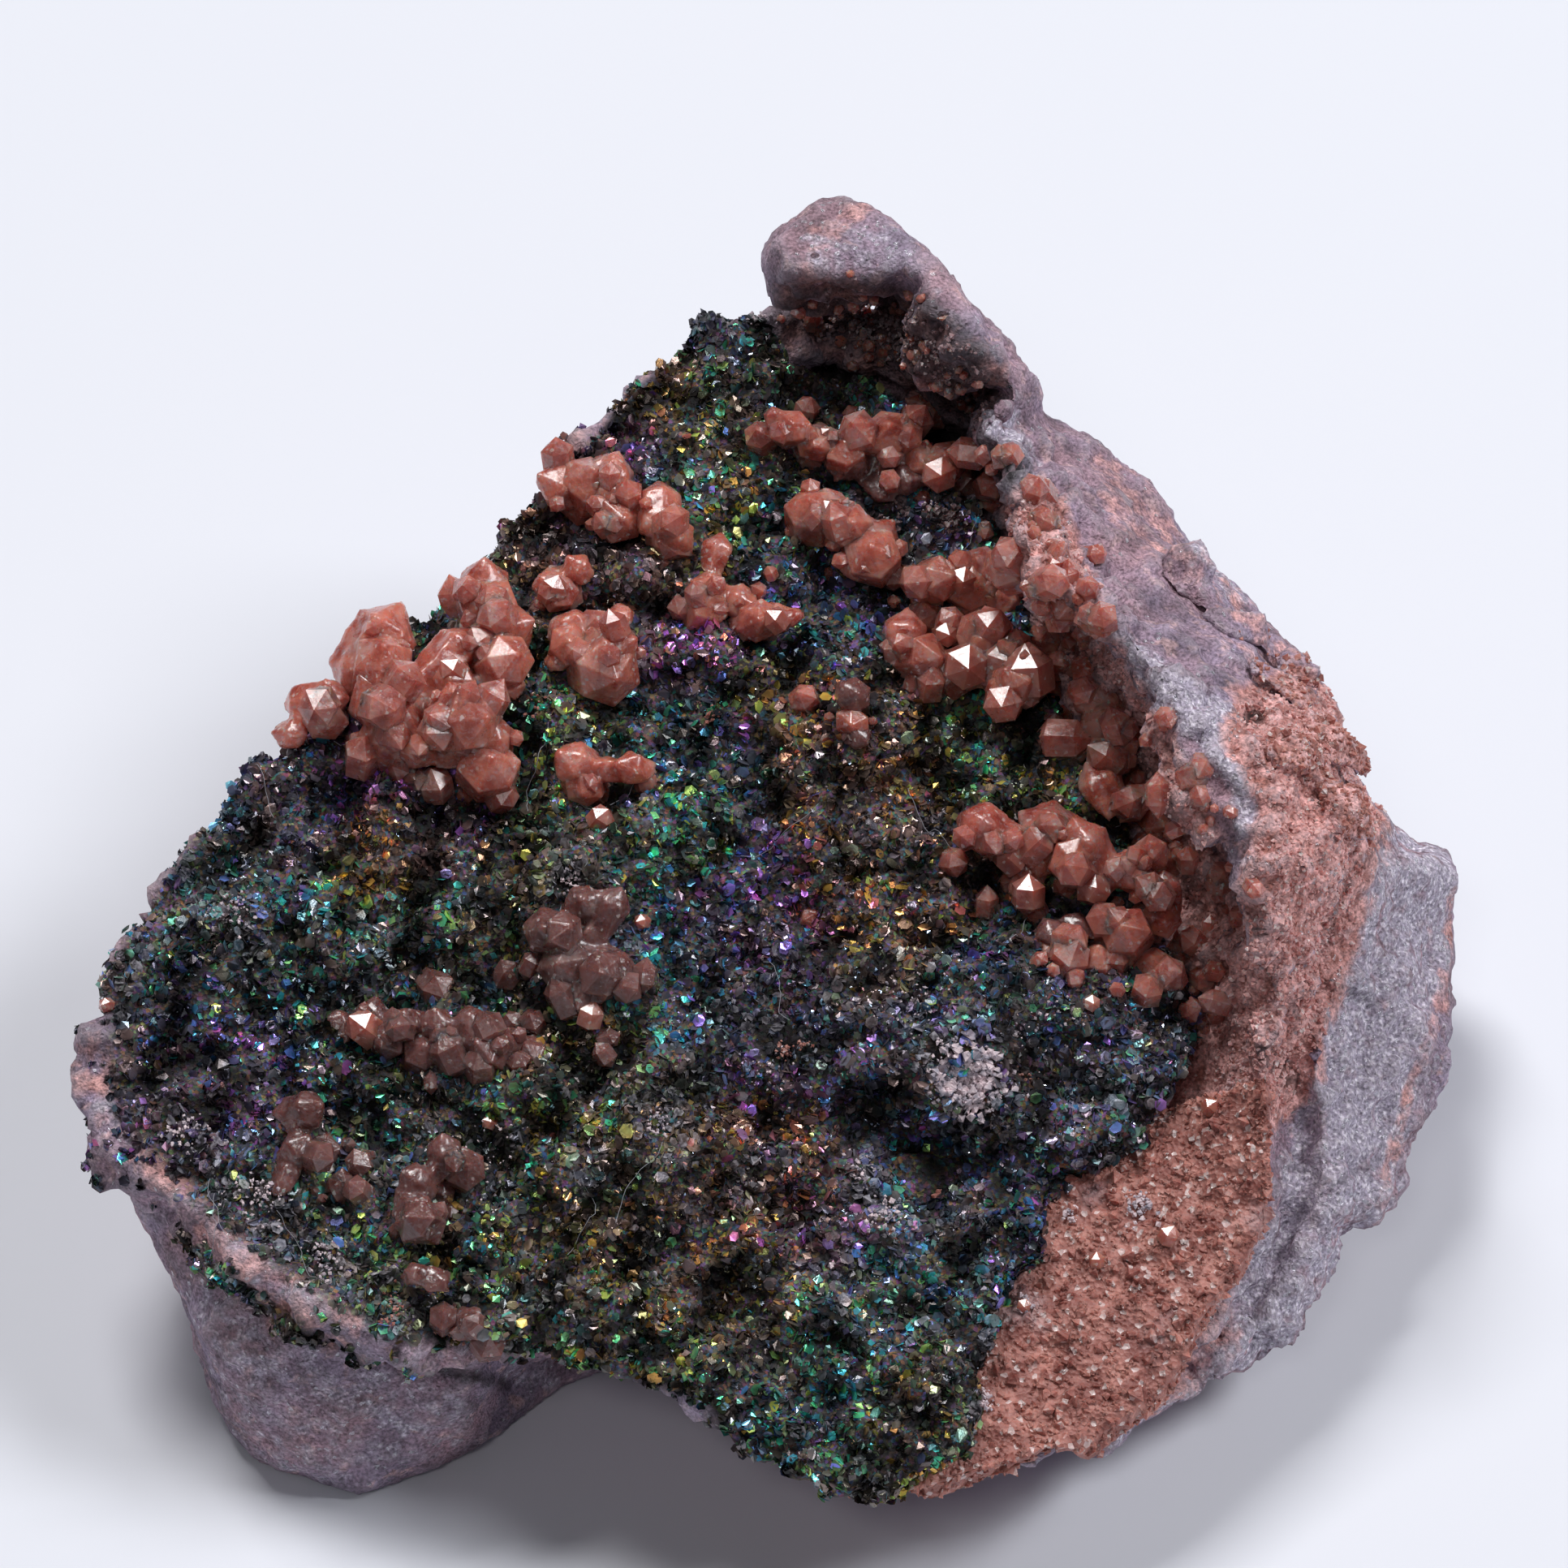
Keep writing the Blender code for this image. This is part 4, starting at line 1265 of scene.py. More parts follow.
@dataclass
class Rock:
    """The rock with its high rim, its broken walls and its flat resting face."""

    rough_grain: float = 0.45
    grain: float = 0.26
    reliefs: tuple[Relief, ...] = (
        Relief(ReliefKind.LUMPS, 3.0, 1.0),
        Relief(ReliefKind.LUMPS, 1.0, 0.60),
        Relief(ReliefKind.PITS, 0.8, 0.34),
        Relief(ReliefKind.LUMPS, 0.42, 0.30),
    )
    calm_share: float = 0.55
    grain_count: int = 4600
    grain_size: Span = (0.05, 0.15)
    grain_lean: float = 1.0
    grain_stretch: Span = (0.7, 1.3)
    least_red: float = 0.45
    seed: int = 41
    shaping: tuple[Pull, ...] = (
        Pull(((1110, 300), (1190, 400)), 55, 1.0),
        Pull(((1275, 545), (1310, 610), (1345, 700)), 45, 0.3, -1.3, 0.0),
        Pull(((1000, 310), (1080, 315), (1150, 345)), 45, 0.7),
        Pull(((1030, 382), (1090, 380), (1145, 405)), 22, -0.6),
        Pull(((985, 320), (955, 375)), 38, 0.5, -0.5, 0.0),
        Pull(((1050, 260),), 60, 0.0, 0.0, 0.5),
        Pull(((1030, 470), (1110, 515), (1200, 560), (1240, 575)), 34, -2.6),
        Pull(((1005, 385), (1075, 400), (1140, 435), (1190, 485)), 30, -0.9),
        Pull(((1185, 640), (1215, 690)), 22, -1.5),
        Pull(((1545, 885),), 14, -1.3),
        Pull(((1435, 705), (1490, 750), (1535, 795)), 26, 1.3),
        Pull(((1235, 560), (1320, 740), (1430, 860), (1520, 930)), 30, 0.5),
        Pull(((1600, 930), (1640, 1000), (1600, 1110), (1560, 1230)), 66, 0.8),
        Pull(((1705, 1020), (1625, 1200), (1590, 1310), (1600, 1480), (1510, 1700)), 20, -1.1),
        Pull(((210, 1470), (330, 1570), (480, 1670), (620, 1705)), 11, -0.8),
        Pull(((1780, 1080),), 45, 0.4, 0.7, 0.5),
        Pull(((1720, 930),), 55, 0.0, -0.8, 0.0),
        Pull(((1720, 1600), (1630, 1700), (1500, 1770)), 90, 0.0, -1.3, 0.5),
        Pull(((860, 520), (700, 900), (900, 1100), (500, 1250)), 170, -0.5),
        Pull(((1150, 950), (1150, 1300), (900, 1500)), 170, -0.5),
    )
    broken: tuple[Stroke, ...] = (
        Stroke(((1010, 400), (1100, 430), (1180, 480)), 70, 1.0),
        Stroke(((1240, 600), (1330, 780), (1430, 900), (1500, 1000), (1540, 1200)), 80, 1.2),
        Stroke(((1580, 950), (1600, 1100), (1560, 1250)), 90, 0.45),
        Stroke(((1700, 1200), (1660, 1450), (1540, 1680)), 80, 0.6),
    )

    def build(self, sugar: bpy.types.Material) -> bpy.types.Object:
        """Shapes and dresses the rock.

        Args:
            sugar: The finish of the quartz grains on its red parts.

        Returns:
            The rock.
        """
        rock = copy_of_node("matrix", "rock")
        remesh(rock, self.rough_grain)
        sculpt(rock, self.shaping + FRONT_UNDERSIDE + 2 * CRUST_HOLLOWS)
        remesh(rock, self.grain)
        roughen(rock, self.reliefs, self._relief_share)
        smooth_shading(rock)
        paint(rock, TONE, TONES.shares(rock), 1)
        finish_piece(rock, RockFinish().make(), ["matrix"])
        grains = joined_copies("rock_grains", grain_shape(), self._grain_places(rock))
        finish_piece(grains, sugar)
        return rock

    def _relief_share(self, places: np.ndarray) -> np.ndarray:
        """0 on the resting face, calm on the walls and more on the broken parts."""
        return let_go(places) * (self.calm_share + drawn(self.broken, places))

    def _grain_places(self, rock: bpy.types.Object) -> Places:
        """Finds where the quartz grains stand on the red parts.

        Args:
            rock: The rock.

        Returns:
            The places of the grains.
        """
        chance = np.random.default_rng(self.seed)
        centres, normals = surface_places(
            rock,
            self.grain_count,
            chance,
            lambda where, way: np.clip(drawn(TONES.red, where) - self.least_red, 0.0, 1.0)
            * facing_camera(where, way),
        )
        lean = chance.uniform(0.0, self.grain_lean, self.grain_count)
        axes = axes_round(leaning(normals, lean, chance), chance)
        sizes = chance.uniform(*self.grain_size, (self.grain_count, 1)) * MM
        sizes = sizes * chance.uniform(*self.grain_stretch, (self.grain_count, 3))
        return Places(centres, axes, sizes)


@dataclass
class SugaryQuartz:
    """A body of red quartz, covered with small sparkling grains."""

    node: str
    name: str
    voxel: float
    reliefs: tuple[Relief, ...]
    grains: int
    grain_size: Span
    seed: int
    grain_rise: Span = (0.0, 1.0)
    grain_side: Span = (-0.4, 0.1)
    grain_lean: float = 0.9
    grain_stretch: Span = (0.7, 1.3)
    grain_growth: Span = (0.7, 1.5)
    rarity: int = 6

    def build(
        self, material: bpy.types.Material, sugar: bpy.types.Material, pulls: Sequence[Pull] = ()
    ) -> bpy.types.Object:
        """Shapes and dresses the body and its grains.

        Args:
            material: The finish of the body.
            sugar: The finish of the grains.
            pulls: How the body is moved before it is roughened.

        Returns:
            The body.
        """
        body = copy_of_node(self.node, self.name)
        remesh(body, self.voxel)
        sculpt(body, pulls)
        roughen(body, self.reliefs)
        smooth_shading(body)
        paint(body, TONE, TONES.shares(body), 1)
        finish_piece(body, material, [self.node])
        grains = joined_copies(f"{self.name}_grains", grain_shape(), self._grain_places(body))
        finish_piece(grains, sugar)
        return body

    def _grain_places(self, body: bpy.types.Object) -> Places:
        """Finds where the grains stand: on top, and only a few of them large.

        Args:
            body: The body of quartz.

        Returns:
            The places of the grains.
        """
        chance = np.random.default_rng(self.seed)
        centres, normals = surface_places(
            body,
            self.grains,
            chance,
            lambda where, way: smooth_step(*self.grain_side, way[:, 2])
            * smooth_step(*self.grain_rise, PICTURE.dots_of(where)[:, 1]),
        )
        lean = chance.uniform(0.0, self.grain_lean, self.grains)
        axes = axes_round(leaning(normals, lean, chance), chance)
        least, more = self.grain_growth
        sizes = chance.uniform(*self.grain_size, (self.grains, 1)) * MM
        sizes = sizes * (least + more * chance.random((self.grains, 1)) ** self.rarity)
        sizes = sizes * chance.uniform(*self.grain_stretch, (self.grains, 3))
        return Places(centres, axes, sizes)


# A paler copy of the sugary finish for the grains on the red end: partly their own colour, partly
# painted light where that end is brightly lit
PALE_SUGAR = SugarFinish("pale_sugar", (0.420, 0.165, 0.150), (0.860, 0.460, 0.440))
QUARTZ_BAND = SugaryQuartz(
    node="red_quartz_band",
    name="quartz_band",
    voxel=0.2,
    reliefs=(Relief(ReliefKind.LUMPS, 1.2, 0.5), Relief(ReliefKind.PITS, 0.6, 0.22)),
    grains=6000,
    grain_size=(0.05, 0.17),
    seed=31,
)
QUARTZ_VEIN = SugaryQuartz(
    node="red_quartz_vein",
    name="quartz_vein",
    voxel=0.16,
    reliefs=(Relief(ReliefKind.LUMPS, 1.0, 0.4), Relief(ReliefKind.LUMPS, 0.35, 0.14)),
    grains=900,
    grain_size=(0.05, 0.12),
    seed=37,
    grain_rise=(760.0, 900.0),
)


@dataclass(frozen=True)
class FilmZone:
    """A zone of one film colour: its middle, its reach, its film and its painted glint brightness,
    from 0 to 1.
    """

    across: float
    down: float
    reach: float
    film: float
    light: float = 0.5


@dataclass(frozen=True)
class FlakeLayer:
    """A growth of flakes.

    It has a shape, a number of rosettes and of flakes in each, the radii and the flatness
    of the flakes, the number of pieces it is split into and how much it keeps to the
    silvery parts of the crust.
    """

    name: str
    shape: Facets
    rosettes: int
    each: int
    radius: Span
    flatness: float
    pieces: int
    silver: float = 0.0


@dataclass(frozen=True)
class FlakeMix:
    """How film, painted glint brightness and dust differ from flake to flake, and the scales of
    their noise.
    """

    plain_pull: float = 1e-3
    plain_light: float = 0.3
    drift: float = 0.12
    drift_scale: float = 0.8
    patches: float = 0.22
    patch_scale: float = 2.4
    scatter: float = 0.10
    gloom: float = 1.6
    gloom_scale: float = 0.6
    gloom_range: Span = (0.15, 2.0)
    flash: Span = (0.06, 2.9)
    flash_rarity: int = 4
    powder: Span = (0.8, 1.2)
    powder_scale: float = 0.7
    powder_octaves: tuple[float, float, int] = (1.0, 2.0, 4)
    most_powder: float = 1.3
    lower_from: Span = (1050.0, 1450.0)
    lower_powder: Span = (0.25, 0.6)
    lower_dust: float = 0.5
    dust_scatter: Span = (0.2, 1.2)
    most_dust: float = 0.95


@dataclass
class HematiteCrust:
    """The dark crust, and the iridescent flakes that grow on it in rosettes."""

    grain: float = 0.32
    shrink: float = 0.22
    sunk: float = 0.6
    underside: float = -0.4
    flecks: float = 0.30
    grown_side: Span = (-0.5, 0.0)
    bare_lip: float = 0.95
    rosette_growth: Span = (0.7, 1.15)
    flake_lean: Span = (22.0, 88.0)
    flake_reach: float = 0.8
    flake_lift: float = 0.6
    narrowest: float = 0.65
    mix: FlakeMix = FlakeMix()
    layers: tuple[FlakeLayer, ...] = (
        FlakeLayer("hematite_flakes", flake_shape(), 12900, 4, (0.08, 0.19), 0.08, 2),
        FlakeLayer("hematite_plates", plate_shape(), 8400, 4, (0.10, 0.24), 0.05, 2),
        FlakeLayer("silver_sparks", flake_shape(), 1300, 2, (0.05, 0.12), 0.10, 1, 0.9),
    )
    seed: int = 11
    reliefs: tuple[Relief, ...] = (
        Relief(ReliefKind.LUMPS, 2.4, 1.9),
        Relief(ReliefKind.LUMPS, 1.0, 1.0),
        Relief(ReliefKind.PITS, 0.8, 0.4),
    )
    shaping: tuple[Pull, ...] = (
        Pull(((1170, 1320), (1230, 1360)), 60, 0.9),
        Pull(((1020, 1290), (1120, 1260)), 50, 0.5),
        Pull(((1060, 1460), (1110, 1520)), 40, 0.5),
        Pull(((690, 1110), (740, 1200)), 60, 0.6),
        Pull(((800, 1340), (830, 1420)), 40, 0.4),
        Pull(((560, 1290), (660, 1310)), 45, 0.4),
        Pull(((300, 1150), (380, 1110)), 60, 0.35),
        Pull(((900, 870), (1000, 900)), 60, 0.4),
        Pull(((1250, 950), (1330, 980)), 50, 0.4),
        Pull(((1000, 1640), (1150, 1700)), 60, 0.4),
        Pull(((840, 1600), (700, 1560)), 50, 0.3),
        Pull(((840, 480),), 70, 0.4),
    )
    silver: tuple[Stroke, ...] = (
        Stroke(((1050, 1280), (1250, 1280), (1380, 1330)), 110),
        Stroke(((1000, 1500), (1200, 1550)), 90, 0.5),
        Stroke(((900, 1650), (1100, 1720)), 110, 0.6),
        Stroke(((300, 1170), (450, 1300)), 90, 0.3),
        Stroke(((420, 1450), (650, 1480)), 90, 0.3),
        Stroke(((900, 690), (1040, 760)), 60, 0.4),
        Stroke(((700, 950), (1300, 960)), 90, 0.2),
    )
    lip: tuple[Stroke, ...] = (
        Stroke(((105, 1270), (100, 1350), (140, 1430), (205, 1490)), 34),
        Stroke(((210, 1480), (330, 1580), (470, 1665), (640, 1690), (860, 1745)), 20),
        Stroke(((240, 1010), (130, 1180)), 12),
        Stroke(((670, 600), (750, 490), (820, 430)), 14),
    )
    dust: tuple[Stroke, ...] = (
        Stroke(((960, 1260), (1100, 1230), (1250, 1280), (1380, 1360)), 70, 0.35),
        Stroke(((1170, 1310), (1210, 1350)), 45, 0.85),
        Stroke(((1060, 1440), (1120, 1520)), 40, 0.6),
        Stroke(((790, 1340), (830, 1420)), 35, 0.6),
        Stroke(((680, 1060), (720, 1120), (760, 1180)), 40, 0.55),
        Stroke(((200, 1390), (330, 1500), (430, 1580), (600, 1650)), 36, 0.7),
        Stroke(((260, 1110), (320, 1160)), 34, 0.45),
        Stroke(((420, 1480), (560, 1440)), 50, 0.3),
        Stroke(((1290, 1560), (1200, 1680), (1210, 1790)), 18, 0.65),
        Stroke(((870, 385), (950, 400)), 26, 0.6),
        Stroke(((140, 1250), (250, 1010)), 16, 0.5),
        Stroke(((1150, 1640), (1000, 1560)), 40, 0.25),
        Stroke(((1120, 620), (1190, 640)), 40, 0.35),
    )
    zones: tuple[FilmZone, ...] = (
        FilmZone(880, 420, 45, 0.58, 0.25),
        FilmZone(820, 490, 60, 0.98, 0.45),
        FilmZone(920, 500, 55, 0.86, 0.35),
        FilmZone(780, 545, 40, 0.40, 0.45),
        FilmZone(850, 595, 45, 0.72, 0.75),
        FilmZone(905, 610, 35, 0.02, 0.80),
        FilmZone(950, 660, 55, 0.70, 0.70),
        FilmZone(1020, 740, 80, 0.60, 0.45),
        FilmZone(870, 680, 45, 0.95, 0.45),
        FilmZone(760, 690, 70, 0.16, 0.18),
        FilmZone(540, 770, 60, 0.74, 0.20),
        FilmZone(850, 800, 45, 0.38, 0.60),
        FilmZone(660, 900, 70, 0.77, 0.60),
        FilmZone(700, 860, 40, 0.90, 0.60),
        FilmZone(960, 870, 55, 0.06, 0.45),
        FilmZone(880, 920, 60, 0.68, 0.55),
        FilmZone(910, 905, 24, 0.36, 0.85),
        FilmZone(1060, 920, 70, 0.08, 0.25),
        FilmZone(1200, 935, 60, 0.80, 0.70),
        FilmZone(1310, 950, 55, 0.88, 0.75),
        FilmZone(1140, 1040, 80, 0.06, 0.35),
        FilmZone(820, 1030, 60, 0.78, 0.70),
        FilmZone(865, 1045, 32, 0.97, 0.80),
        FilmZone(340, 970, 80, 0.52, 0.30),
        FilmZone(255, 1030, 50, 0.70, 0.55),
        FilmZone(420, 940, 50, 0.36, 0.40),
        FilmZone(470, 1050, 60, 0.03, 0.60),
        FilmZone(560, 1030, 60, 0.40, 0.30),
        FilmZone(640, 1060, 60, 0.92, 0.45),
        FilmZone(300, 1160, 80, 0.70, 0.50),
        FilmZone(245, 1235, 36, 0.50, 0.90),
        FilmZone(390, 1230, 70, 0.72, 0.60),
        FilmZone(320, 1300, 60, 0.42, 0.30),
        FilmZone(530, 1190, 80, 0.72, 0.35),
        FilmZone(600, 1130, 50, 0.90, 0.45),
        FilmZone(900, 1110, 60, 0.47, 0.60),
        FilmZone(960, 1150, 50, 0.38, 0.60),
        FilmZone(820, 1190, 45, 0.66, 0.70),
        FilmZone(1080, 1150, 75, 0.08, 0.50),
        FilmZone(960, 1230, 70, 0.58, 0.25),
        FilmZone(1200, 1300, 120, 0.60, 0.30),
        FilmZone(1360, 1260, 60, 0.62, 0.25),
        FilmZone(460, 1380, 80, 0.74, 0.50),
        FilmZone(560, 1370, 60, 0.78, 0.60),
        FilmZone(700, 1420, 90, 0.90, 0.40),
        FilmZone(600, 1560, 80, 0.84, 0.55),
        FilmZone(740, 1560, 70, 0.97, 0.45),
        FilmZone(760, 1640, 60, 0.88, 0.60),
        FilmZone(880, 1500, 60, 0.06, 0.45),
        FilmZone(960, 1440, 60, 0.14, 0.40),
        FilmZone(1010, 1510, 45, 0.36, 0.45),
        FilmZone(1180, 1520, 60, 0.66, 0.55),
        FilmZone(1240, 1450, 50, 0.56, 0.35),
        FilmZone(920, 1640, 60, 0.97, 0.65),
        FilmZone(1060, 1660, 70, 0.72, 0.55),
        FilmZone(980, 1740, 60, 0.66, 0.60),
        FilmZone(1120, 1760, 60, 0.92, 0.55),
        FilmZone(880, 1720, 50, 0.76, 0.55),
    )

    def build(self) -> bpy.types.Object:
        """Shapes and dresses the crust and its flakes.

        Returns:
            The dark ground below the flakes.
        """
        ground = copy_of_node("hematite_crust", "crust_ground")
        places, normals = coordinates(ground.data), vertex_normals(ground.data)
        inward = -normals * self.shrink * MM
        below = normals[:, 2] < self.underside
        inward[:, 2] = np.where(below, -self.sunk * MM, inward[:, 2])
        move_vertices(ground.data, places + inward)
        remesh(ground, self.grain)
        sculpt(ground, self.shaping + CRUST_HOLLOWS)
        roughen(ground, self.reliefs)
        smooth_shading(ground)
        tones = TONES.shares(ground)
        # The ground is dark crust and painted shade between the flakes, except at the bare lip
        tones[:, 2] = 1.0 - drawn(self.lip, coordinates(ground.data))
        paint(ground, TONE, tones, 1)
        dark = RockFinish("crust_ground", flecks=self.flecks).make()
        finish_piece(ground, dark, ["hematite_crust"])
        chance = np.random.default_rng(self.seed)
        film, silver = FilmFinish().make(), SparkFinish().make()
        for layer in self.layers:
            self._grow(layer, ground, silver if layer.silver else film, chance)
        return ground

    def _grow(
        self,
        layer: FlakeLayer,
        ground: bpy.types.Object,
        material: bpy.types.Material,
        chance: np.random.Generator,
    ) -> None:
        """Grows one layer of flakes on the ground.

        Args:
            layer: The layer.
            ground: The dark ground.
            material: The finish of the flakes.
            chance: The source of random numbers.
        """
        roots, normals = surface_places(
            ground,
            layer.rosettes,
            chance,
            lambda where, way: smooth_step(*self.grown_side, way[:, 2])
            * (1.0 - self.bare_lip * drawn(self.lip, where))
            * (1.0 - layer.silver * (1.0 - drawn(self.silver, where))),
        )
        colours = self._flake_colours(roots, layer.each, chance)
        places = self._flake_places(layer, roots, normals, chance)
        order = np.argsort(np.repeat(roots[:, 0], layer.each), kind="stable")
        for number, share in enumerate(np.array_split(order, layer.pieces), start=1):
            own = Places(places.centres[share], places.axes[share], places.sizes[share])
            flakes = joined_copies(f"{layer.name}_{number}", layer.shape, own)
            paint(flakes, FLAKE, colours[share], len(layer.shape.corners))
            finish_piece(flakes, material)

    def _flake_places(
        self,
        layer: FlakeLayer,
        roots: np.ndarray,
        normals: np.ndarray,
        chance: np.random.Generator,
    ) -> Places:
        """Finds where the flakes of every rosette stand.

        Args:
            layer: The layer that the flakes belong to.
            roots: The middles of the rosettes.
            normals: The normals of the ground there.
            chance: The source of random numbers.

        Returns:
            The places of the flakes.
        """
        size = np.repeat(chance.uniform(*self.rosette_growth, len(roots)), layer.each)
        roots = np.repeat(roots, layer.each, axis=0)
        normals = np.repeat(normals, layer.each, axis=0)
        count = len(roots)
        facing = leaning(normals, np.radians(chance.uniform(*self.flake_lean, count)), chance)
        axes = axes_round(facing, chance)
        radius = chance.uniform(*layer.radius, count) * size * MM
        out = facing - normals * (facing * normals).sum(axis=1)[:, None]
        lift = radius * chance.uniform(0.0, self.flake_lift, count)
        centres = roots + out * radius[:, None] * self.flake_reach + normals * lift[:, None]
        across = radius * chance.uniform(self.narrowest, 1.0, count)
        sizes = np.stack([radius, across, radius * layer.flatness], axis=1)
        return Places(centres, axes, sizes)

    def _flake_colours(
        self, roots: np.ndarray, each: int, chance: np.random.Generator
    ) -> np.ndarray:
        """Works out the film, the dust and the painted glint brightness of each flake.

        Args:
            roots: The middles of the rosettes.
            each: How many flakes one rosette has.
            chance: The source of random numbers.

        Returns:
            The three for each flake, one row each, kept as red, green and blue.
        """
        mix = self.mix
        seen = PICTURE.dots_of(roots)
        film, light = self._zone_colours(seen)
        drift = soft_noise(roots, mix.drift_scale)
        patch = soft_noise(roots, mix.patch_scale, (9.0, 0.0, 0.0))
        film = film + mix.drift * drift + mix.patches * patch
        gloom = soft_noise(roots, mix.gloom_scale, (0.0, 9.0, 0.0))
        bright = light * np.clip(1.0 + mix.gloom * gloom, *mix.gloom_range)
        spots = [Vector(place) / MM * mix.powder_scale for place in roots]
        powder = np.array([noise.fractal(spot, *mix.powder_octaves) for spot in spots])
        level, swing = mix.powder
        dust = drawn(self.dust, roots) * np.clip(level + swing * powder, 0.0, mix.most_powder)
        lower = smooth_step(*mix.lower_from, seen[:, 1])
        lower_dust = mix.lower_dust * lower * smooth_step(*mix.lower_powder, powder)
        dust = np.maximum(dust, lower_dust)
        film, bright, dust = (np.repeat(one, each) for one in (film, bright, dust))
        count = len(film)
        film = (film + chance.normal(0.0, mix.scatter, count)) % 1.0
        # Painted glints: a few flakes are made bright at random, not by how they face the lights
        faint, strong = mix.flash
        bright = bright * (faint + strong * chance.random(count) ** mix.flash_rarity)
        dust = np.clip(dust * chance.uniform(*mix.dust_scatter, count), 0.0, mix.most_dust)
        return np.stack([film, dust, np.clip(bright, 0.0, 1.0)], axis=1)

    def _zone_colours(self, seen: np.ndarray) -> tuple[np.ndarray, np.ndarray]:
        """Mixes the zones that lie round each rosette, with their films on a wheel.

        Args:
            seen: The places of the rosettes in the picture.

        Returns:
            The film and the painted glint brightness of each rosette.
        """
        pull = np.full(len(seen), self.mix.plain_pull)
        light = self.mix.plain_light * pull
        turn = np.zeros((len(seen), 2))
        for zone in self.zones:
            off = np.hypot(seen[:, 0] - zone.across, seen[:, 1] - zone.down)
            near = np.exp(-((off / zone.reach) ** 2))
            pull += near
            light += near * zone.light
            angle = 2.0 * math.pi * zone.film
            turn += near[:, None] * np.array([math.cos(angle), math.sin(angle)])
        film = np.arctan2(turn[:, 1], turn[:, 0]) / (2.0 * math.pi)
        return film, light / pull


@dataclass(frozen=True)
class Patch:
    """A patch of small crystals or grains: its middle and reach, their number and size."""

    across: float
    down: float
    reach: float
    count: int
    size: float = 0.42


@dataclass(frozen=True)
class Point:
    """One crystal that rises from a group: its place and its radius, in dots."""

    across: float
    down: float
    radius: float


@dataclass(frozen=True)
class Glint:
    """One clear crystal with a face turned to the key light: its place and its size."""

    across: float
    down: float
    size: float


